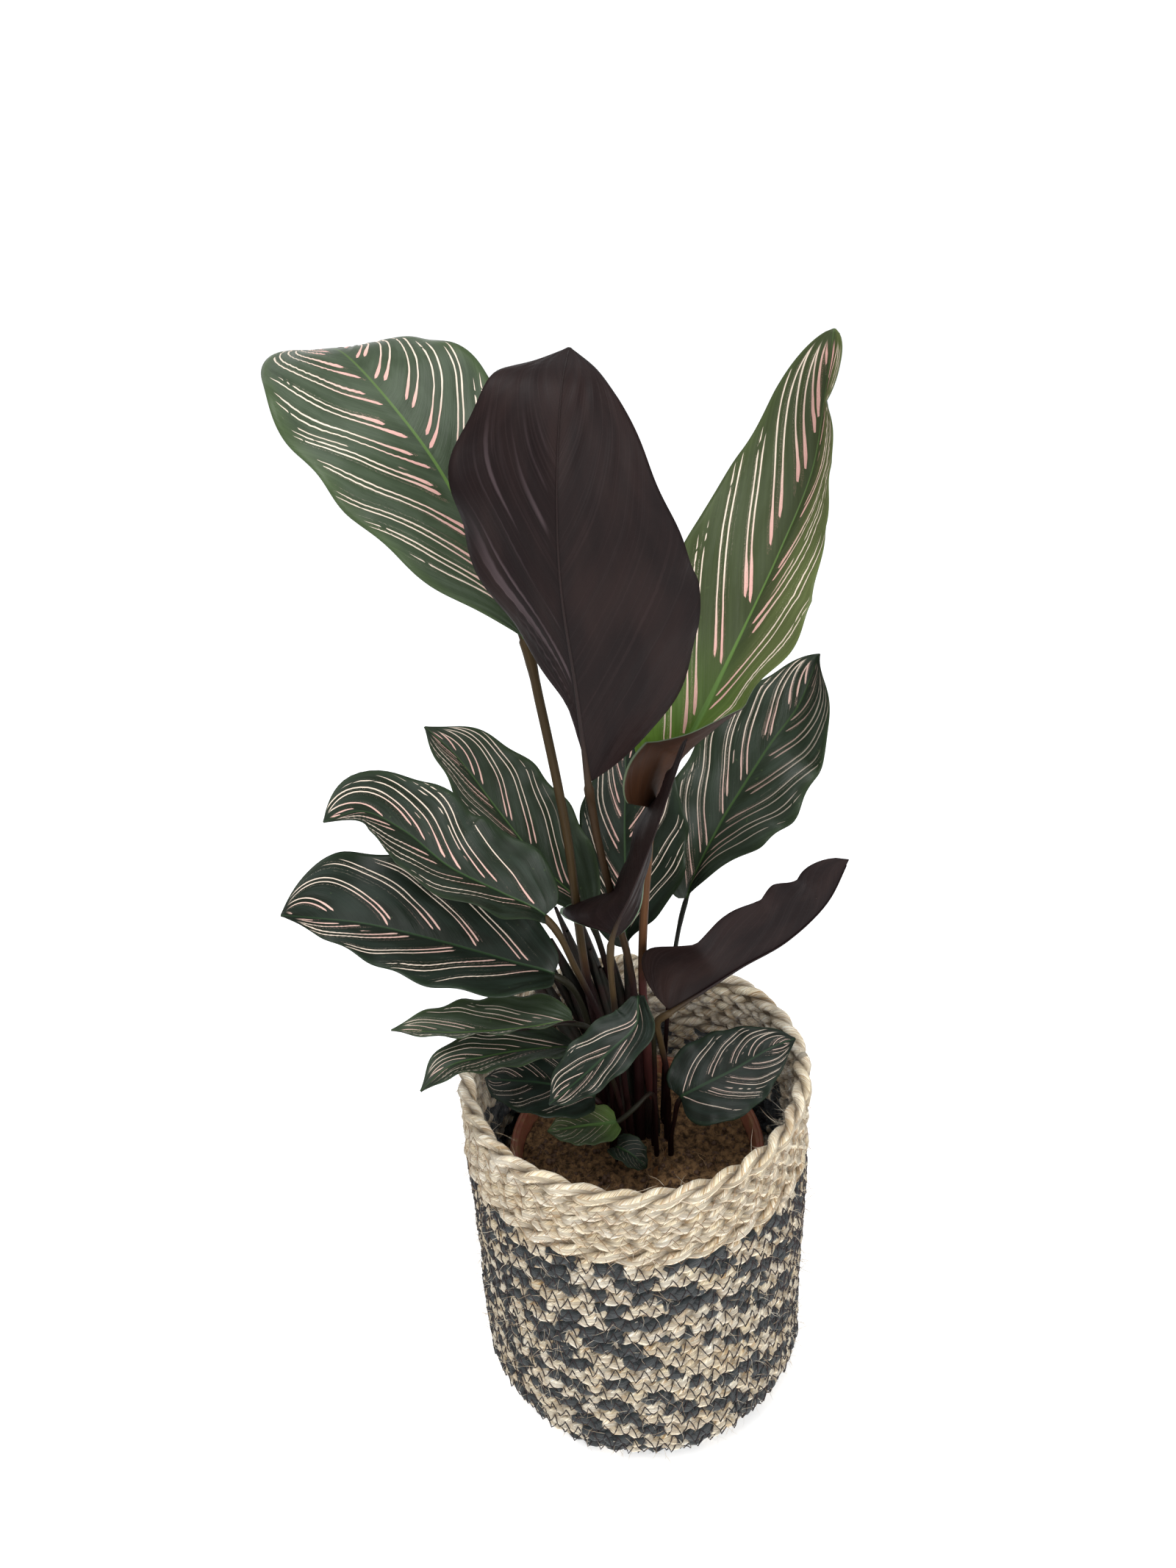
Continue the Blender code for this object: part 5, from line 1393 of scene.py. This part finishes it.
def thread_parts(rows, pitch, radius, find, rng):
    """Zigzag stitches that hold each row to the next, drawn tight over the strands."""
    made = []
    for row in rows:
        count = 2 * round(2 * math.pi * row_radius(row) / pitch)
        low, high = row_height(row) - STITCH_BELOW, row_height(row) + STITCH_ABOVE
        corners = []
        for k in range(count):
            share = (k + rng.uniform(-STITCH_JITTER, STITCH_JITTER)) / count
            edge = (high if k % 2 else low) + rng.uniform(-STITCH_STRAY, STITCH_STRAY)
            corners.append((2 * math.pi * share, max(edge, THREAD_LOWEST)))
        corners.append((corners[0][0] + 2 * math.pi, corners[0][1]))
        angles, heights = [], []
        for (angle, height), (after_angle, after_height) in itertools.pairwise(corners):
            for share in np.arange(THREAD_STEPS) / THREAD_STEPS:
                bow = THREAD_BOW * math.sin(math.pi * share)
                angles.append(angle + (after_angle - angle) * share + bow / BASKET_RADIUS)
                heights.append(height + (after_height - height) * share)
        out = np.array([find(angle, height) for angle, height in zip(angles, heights)])
        for _ in range(2):
            out = np.maximum(out, (np.roll(out, 1) + np.roll(out, -1)) / 2)
        outward = outward_at(np.array(angles))
        path = outward * (out + radius * THREAD_SEAT)[:, None] + np.array(heights)[:, None] * UP
        made.append(rod(path, outward, radius, 3, closed=True))
    return made


def hair(start, direction, length, radius, rng, steps=5, droop=0.0):
    """One thin curved fibre that starts at a point and bends at random."""
    points = [np.array(start, float)]
    heading = np.array(direction, float)
    bend = rng.normal(0, HAIR_BEND, 3)
    for _ in range(steps):
        heading = unit(heading + bend + rng.normal(0, HAIR_JITTER, 3) - droop * UP)
        points.append(points[-1] + heading * length / steps)
    thick = radius * np.concatenate([[0.01], np.linspace(1, 0.45, steps - 1), [0.01]])
    return rod(np.array(points), HAIR_HINT, thick, 3)


def make_threads(ropes):
    """The dark stitches of the wall and the finer tan ones of the band."""
    rng = np.random.default_rng(41)
    find = surface_finder(ropes)
    dark = fibre_material("thread", THREAD_DARK, THREAD_BROWN)
    wall = thread_parts(range(FIRST_BAND_ROW), STITCH_LENGTH, THREAD_RADIUS, find, rng)
    piece_of("basket_stitches", joined(wall), dark, "jute_dyed")
    tan = fibre_material("band_thread", THREAD_TAN, FIBRE_TAN)
    rows = range(FIRST_BAND_ROW, ROW_COUNT - 1)
    band = thread_parts(rows, BAND_STITCH_LENGTH, BAND_THREAD_RADIUS, find, rng)
    piece_of("band_stitches", joined(band), tan, "jute_natural")
    return find


def make_fuzz(find):
    """Loose fibres that stand off the rows, and hang off the bare part of the inside."""
    rng = np.random.default_rng(97)
    parts = []
    for _ in range(INNER_FUZZ_COUNT):
        angle = rng.uniform(0, 2 * math.pi)
        outward, around = outward_at(angle), outward_at(angle + math.pi / 2)
        start = outward * INSIDE_RADIUS + rng.uniform(*INNER_FUZZ_HEIGHTS) * UP
        heading = outward * -rng.uniform(0.2, 0.8) + around * rng.normal(0, 0.8) - 0.3 * UP
        parts.append(hair(start, heading, rng.uniform(*INNER_FUZZ_LENGTHS), FIBRE_RADIUS, rng, droop=0.10))
    for _ in range(FUZZ_COUNT):
        angle = rng.uniform(0, 2 * math.pi)
        outward, around = outward_at(angle), outward_at(angle + math.pi / 2)
        height = rng.uniform(0.004, ROW_COUNT * ROW_PITCH)
        start = outward * (find(angle, height) - FUZZ_ROOT) + height * UP
        heading = around * rng.choice([-1, 1]) + outward * rng.uniform(0.2, 0.9)
        heading = heading + rng.normal(0, 0.35) * UP
        length = rng.uniform(*FUZZ_LENGTHS) + LONG_FUZZ * rng.uniform() ** 4
        parts.append(hair(start, heading, length, FIBRE_RADIUS, rng))
    fibres = joined(parts)
    fibres.points[:, 2] = np.maximum(fibres.points[:, 2], FLOOR_GAP)
    piece_of("basket_fibres", fibres, fibre_material("loose_fibre", FIBRE_PALE, FIBRE_TAN), "jute_natural")


# Liner, pot and coir


def turned(name, profile, steps, finish):
    """A closed solid of (radius, height) points turned about Z. The outline runs down its outer side."""
    radius, height = (np.array(values)[:, None, None] for values in zip(*profile))
    rings = radius * outward_at(round_angles(steps)) + height * UP
    made = mesh_of(name, rings.reshape(-1, 3), [(tube_faces(len(profile), steps), 0, None)], [finish])
    face_outwards(made)
    return made


def crumpled(radius, turn, height, floor, drop):
    """A point of the film, which creases draw inward from its even place. The drop lowers its top edge."""
    place = Vector((radius * math.cos(turn), radius * math.sin(turn), height))
    crease = noise.noise(place * 38.0) + 0.5 * noise.noise(place * 95.0)
    crease = CREASE_DEPTH * (1 - abs(crease)) + CREASE_SWELL * noise.noise(place * 15.0)
    pulled = radius - (min(max(crease, 0.0), CREASE_LIMIT) if height > floor else 0.0)
    lift = drop * (noise.noise(place * 30.0) - 1)
    return pulled * math.cos(turn), pulled * math.sin(turn), max(height + lift, floor)


def make_liner():
    """A thin cup of crumpled film that follows the inside of the basket."""
    wall = INSIDE_RADIUS - LINER_GAP
    floor = BASE_THICKNESS + LINER_GAP
    corner, low = wall - CORNER_WIDTH, floor + CORNER_HEIGHT
    profile = [(corner * share, floor) for share in np.linspace(0.04, 1, 6)]
    for share in np.linspace(0.2, 1, 5):
        profile.append((corner + CORNER_WIDTH * share, floor + CORNER_HEIGHT * share))
    profile += [(wall, low + (LINER_TOP - low) * share) for share in np.linspace(0, 1, LINER_ROWS)[1:]]
    drops = [0.0] * (len(profile) - 1) + [LINER_EDGE_DROP]
    outer = np.array(
        [
            [crumpled(radius, turn, height, floor, drop) for turn in round_angles(LINER_STEPS)]
            for (radius, height), drop in zip(profile, drops)
        ]
    )
    inner = outer.copy()
    inner[:, :, :2] *= 1 - FILM_THICKNESS / np.linalg.norm(outer[:, :, :2], axis=2, keepdims=True)
    inner[:, :, 2] += FILM_THICKNESS * (outer[:, :, 2] < low)
    piece = capped("liner_crumpled", np.concatenate([outer, inner[::-1]]), film(), -1)
    return on_root(piece, "liner_film", "liner")


def pot_inner_radius(height):
    """Radius of the pot's inside at a height."""
    share = (height - POT_LOW) / (POT_RIM_TOP - POT_LOW)
    return POT_FOOT_RADIUS + (POT_RIM_RADIUS - POT_RIM_LIP - POT_FOOT_RADIUS) * share - POT_WALL


def make_pot():
    """The moulded pot, with a rolled rim and its drain holes."""
    rim_low = POT_RIM_TOP - POT_RIM_HEIGHT
    ring = POT_FOOT_RADIUS - FOOT_RING_WIDTH
    inner_top = POT_RIM_TOP - 2 * RIM_ROLL
    profile = [
        (0.0, POT_FLOOR),
        (pot_inner_radius(POT_FLOOR), POT_FLOOR),
        (pot_inner_radius(inner_top), inner_top),
        (pot_inner_radius(inner_top) + 0.0008, POT_RIM_TOP - RIM_ROLL),
    ]
    for turn in (math.radians(degrees) for degrees in range(180, -1, -30)):
        out, up = RIM_ROLL * (math.cos(turn) - 1), RIM_ROLL * (math.sin(turn) - 1)
        profile.append((POT_RIM_RADIUS + out, POT_RIM_TOP + up))
    profile += [
        (POT_RIM_RADIUS, rim_low + 0.0006),
        (POT_RIM_RADIUS - 0.0006, rim_low),
        (pot_inner_radius(rim_low) + POT_WALL, rim_low + 0.0003),
        (POT_FOOT_RADIUS, POT_LOW),
        (ring, POT_LOW),
        (ring - POT_WALL, POT_LOW + POT_FOOT_HEIGHT),
        (0.0, POT_LOW + POT_FOOT_HEIGHT),
    ]
    pot = turned("nursery_pot_moulded", profile, POT_STEPS, pot_plastic())
    cutters = bpy.data.collections.new("drain_cutters")
    for k in range(DRAIN_HOLE_COUNT):
        place = outward_at(2 * math.pi * (k + 0.5) / DRAIN_HOLE_COUNT) * DRAIN_HOLE_CIRCLE
        size = {"vertices": 24, "radius": DRAIN_HOLE_RADIUS, "depth": 0.02}
        bpy.ops.mesh.primitive_cylinder_add(**size, location=place + POT_FLOOR * UP)
        cutter = bpy.context.object
        for home in list(cutter.users_collection):
            home.objects.unlink(cutter)
        cutters.objects.link(cutter)
    boolean = pot.modifiers.new("Holes", "BOOLEAN")
    boolean.operand_type = "COLLECTION"
    boolean.collection = cutters
    graph = bpy.context.evaluated_depsgraph_get()
    mesh = bpy.data.meshes.new_from_object(pot.evaluated_get(graph))
    pot.modifiers.clear()
    pot.data = mesh
    for cutter in list(cutters.objects):
        bpy.data.objects.remove(cutter)
    bpy.data.collections.remove(cutters)
    mesh.shade_smooth()
    mesh.set_sharp_from_angle(angle=math.radians(40))
    return on_root(pot, "pot_plastic", "nursery_pot")


def soil_height(x, y):
    """The coir's surface: a low mound round the crown, roughened by crossed waves."""
    share = math.dist((x, y), CROWN) / POT_RIM_RADIUS
    rough = math.sin(310 * x + 1.3) * math.sin(270 * y) + 0.6 * math.sin(520 * y + 410 * x)
    return SOIL_LEVEL + SOIL_MOUND * max(0.0, 1 - share) + SOIL_ROUGHNESS * rough


def crumbled(x, y):
    """The coir's surface with its clods and crumbs."""
    place = Vector((x, y, 0.0))
    rough = sum(noise.noise(place * cells) * height for cells, height in CRUMBLE)
    return soil_height(x, y) + rough + max(0.0, noise.noise(place * CLOD[0])) * CLOD[1]


def make_soil():
    """The bed of coir, which fills the pot from its floor to below the rim."""
    edge = pot_inner_radius(SOIL_LEVEL) - SOIL_GAP
    foot = pot_inner_radius(POT_FLOOR) - SOIL_GAP
    low, high = POT_FLOOR + FLOOR_GAP, SOIL_LEVEL - SOIL_EDGE_DROP
    outward = outward_at(round_angles(SOIL_STEPS))
    top = np.linspace(0.02, 1, SOIL_RINGS)[:, None, None] * edge * outward
    top[..., 2] = [[crumbled(x, y) for x, y, _ in ring] for ring in top]
    down = np.array([0.0, 0.5, 1.0])[:, None, None]
    sides = (edge + (foot - edge) * down) * outward + (high + (low - high) * down) * UP
    return on_root(capped("coir_bed", np.concatenate([top, sides]), coir(), 1), "coir", "soil")


def on_soil(x, y, surface, sunk=0.0):
    """The point of the coir's surface above a place, or that far below it."""
    return np.array([x, y, surface(x, y) - sunk])


def icosahedron():
    """Its 12 corners and 20 faces, which face out."""
    golden = (1 + 5**0.5) / 2
    signs = [(a, b * golden) for a in (1, -1) for b in (1, -1)]
    corners = np.array([corner for a, b in signs for corner in ((0, a, b), (a, b, 0), (b, 0, a))], float)
    faces = []
    for trio in itertools.combinations(range(12), 3):
        a, b, c = corners[list(trio)]
        if max(np.linalg.norm(a - b), np.linalg.norm(b - c), np.linalg.norm(c - a)) < 2.1:
            outward = np.dot(np.cross(b - a, c - a), a) > 0
            faces.append(trio if outward else trio[::-1])
    return unit(corners), np.array(faces)


def make_crumbs():
    """Crumbs and husk fibres on the coir, and the dry sheaths and young shoots of the crown."""
    rng = np.random.default_rng(7)
    edge = pot_inner_radius(SOIL_LEVEL) - 0.003
    corners, faces = icosahedron()

    def somewhere():
        radius, turn = edge * math.sqrt(rng.uniform()), rng.uniform(0, 2 * math.pi)
        return on_soil(radius * math.cos(turn), radius * math.sin(turn), crumbled)

    crumbs, husks = [], []
    for _ in range(CRUMB_COUNT):
        size = CRUMB_SIZE + CRUMB_SPREAD * rng.uniform() ** 3
        axis = Vector(unit(rng.normal(0, 1, 3)))
        turn = np.array(Matrix.Rotation(rng.uniform(0, 2 * math.pi), 3, axis))
        crumb = corners * rng.uniform(0.65, 1.15, (12, 1)) * rng.uniform(0.6, 1.3, 3) @ turn
        crumbs.append(Patch(somewhere() + crumb * size, faces))
    piece_of("coir_crumbs", joined(crumbs), bpy.data.materials["coir"], "coir")
    for _ in range(HUSK_COUNT):
        heading = [rng.normal(), rng.normal(), rng.uniform(-0.1, 0.5)]
        length = rng.uniform(*HUSK_LENGTHS)
        husks.append(hair(somewhere(), heading, length, HUSK_RADIUS, rng, steps=6, droop=0.12))
    husk = fibre_material("husk_fibre", HUSK_PALE, HUSK_TAN)
    piece_of("coir_fibres", joined(husks), husk, "coir")
    piece_of("dry_sheaths", joined([dry_sheath(rng) for _ in range(DRY_SHEATH_COUNT)]), husk, "leaf")
    # The shoots' near-black is partly their own dark colour and partly painted deep shade in the crown.
    shoot = fibre_material("young_shoot", SHADED_SHOOT_GREEN, SHADED_SHOOT_MAROON)
    shoots = [young_shoot(rng, share) for share in np.linspace(0, 1, SHOOT_COUNT)]
    piece_of("young_shoots", joined(shoots), shoot, "leaf")


def young_shoot(rng, share):
    """A dark furled leaf among the stalks of the crown, near black partly as painted deep shade. The share
    says how far right it stands.
    """
    x = CROWN[0] + (share - 0.7) * SHOOT_FAN
    start = on_soil(x, CROWN[1] + rng.uniform(*SHOOT_DEPTHS), soil_height, sunk=0.003)
    height = rng.uniform(*SHOOT_HEIGHTS) + (1 - share) * SHOOT_TALLER_LEFT
    lean = (share * 0.38 - 0.42 + rng.normal(0, 0.02), rng.uniform(0.0, 0.12))
    up = np.linspace(0, 1, SHOOT_STEPS)
    path = start + height * np.column_stack([np.outer(up**1.25, lean), up])
    taper = np.clip((1 - up) * 4, 0.10, 1) ** 0.5 * (1.1 - 0.25 * up)
    return rod(path, (1.0, 0.0, 0.0), rng.uniform(*SHOOT_RADII) * taper, 10, flat=0.7)


def dry_sheath(rng):
    """A withered strip of old leaf sheath, which stands by the crown and curls over at its top."""
    turn = rng.uniform(-2.2, -0.9)
    reach = rng.uniform(*DRY_SHEATH_REACH)
    outward = outward_at(turn)
    x, y = CROWN + reach * outward[:2]
    foot = on_soil(x, y, soil_height, sunk=0.002)
    step_length = rng.uniform(*DRY_SHEATH_LENGTHS) / DRY_SHEATH_STEPS
    share = np.linspace(0, 1, DRY_SHEATH_STEPS)
    lean = rng.uniform(-0.3, 0.5) + rng.uniform(0.4, 1.2) * share**1.5
    step = outward * np.sin(lean)[:, None] + UP * np.cos(lean)[:, None]
    sideways = np.cross(outward, UP)
    path = foot + np.cumsum(step, 0) * step_length + sideways * (rng.normal(0, 0.0020) * share**2)[:, None]
    thick = rng.uniform(*DRY_SHEATH_RADII) * (1 - share**2 * 0.8)
    return rod(path, np.cross(sideways, UP), thick, 8, flat=0.18)


# Camera, light and floor


def make_camera():
    forward = Vector((0, math.cos(CAMERA_TILT), -math.sin(CAMERA_TILT)))
    level_up = Vector((0, math.sin(CAMERA_TILT), math.cos(CAMERA_TILT)))
    level_right = Vector((1, 0, 0))
    right = level_right * math.cos(CAMERA_ROLL) + level_up * math.sin(CAMERA_ROLL)
    up = level_up * math.cos(CAMERA_ROLL) - level_right * math.sin(CAMERA_ROLL)
    data = bpy.data.cameras.new("photo_camera")
    data.sensor_width = SENSOR
    data.lens = FOCAL_PIXELS * SENSOR / PHOTO_SIZE[1]
    data.clip_start = CLIP_START
    camera = bpy.data.objects.new("photo_camera", data)
    rotation = Matrix((right, up, -forward)).transposed()
    camera.matrix_world = Matrix.Translation(CAMERA_PLACE) @ rotation.to_4x4()
    bpy.context.scene.collection.objects.link(camera)
    bpy.context.scene.camera = camera


def add_light(name, place, size, power):
    """A round soft light that faces the plant."""
    data = bpy.data.lights.new(name, "AREA")
    data.shape = "DISK"
    data.size = size
    data.energy = power
    light = bpy.data.objects.new(name, data)
    light.location = place
    light.rotation_euler = (Vector(LIGHT_TARGET) - Vector(place)).to_track_quat("-Z", "Y").to_euler()
    bpy.context.scene.collection.objects.link(light)


def make_light():
    scene = bpy.context.scene
    scene.view_settings.view_transform = "Standard"
    world = bpy.data.worlds.new("soft_white")
    scene.world = world
    world.use_nodes = True
    sky = world.node_tree.nodes["Background"]
    sky.inputs["Color"].default_value = (*WORLD_WHITE, 1.0)
    sky.inputs["Strength"].default_value = WORLD_STRENGTH
    for name, settings in LIGHTS.items():
        add_light(name, *settings)


def make_floor():
    """The floor, and a backdrop that stands at its far edge."""
    half = FLOOR_HALF
    points = [(-half, -half, 0), (half, -half, 0), (half, half, 0), (-half, half, 0)]
    quad = [(np.array([[0, 1, 2, 3]]), 0, None)]
    mesh_of("floor", points, quad, [pale_surface("floor", FLOOR_GLOW)])
    top = BACKDROP_HEIGHT
    points = [(-half, half, 0), (half, half, 0), (half, half, top), (-half, half, top)]
    mesh_of("backdrop", points, quad, [pale_surface("backdrop", BACKDROP_GLOW)])


def main():
    make_camera()
    make_light()
    make_floor()
    leaf_finish = [leaf_upper(), leaf_lower(), leaf_stalk()]
    for name, leaf in LEAVES.items():
        make_leaf(name, leaf, leaf_finish)
    ropes = make_basket()
    find = make_threads(ropes)
    make_fuzz(find)
    make_liner()
    make_pot()
    make_soil()
    make_crumbs()


main()
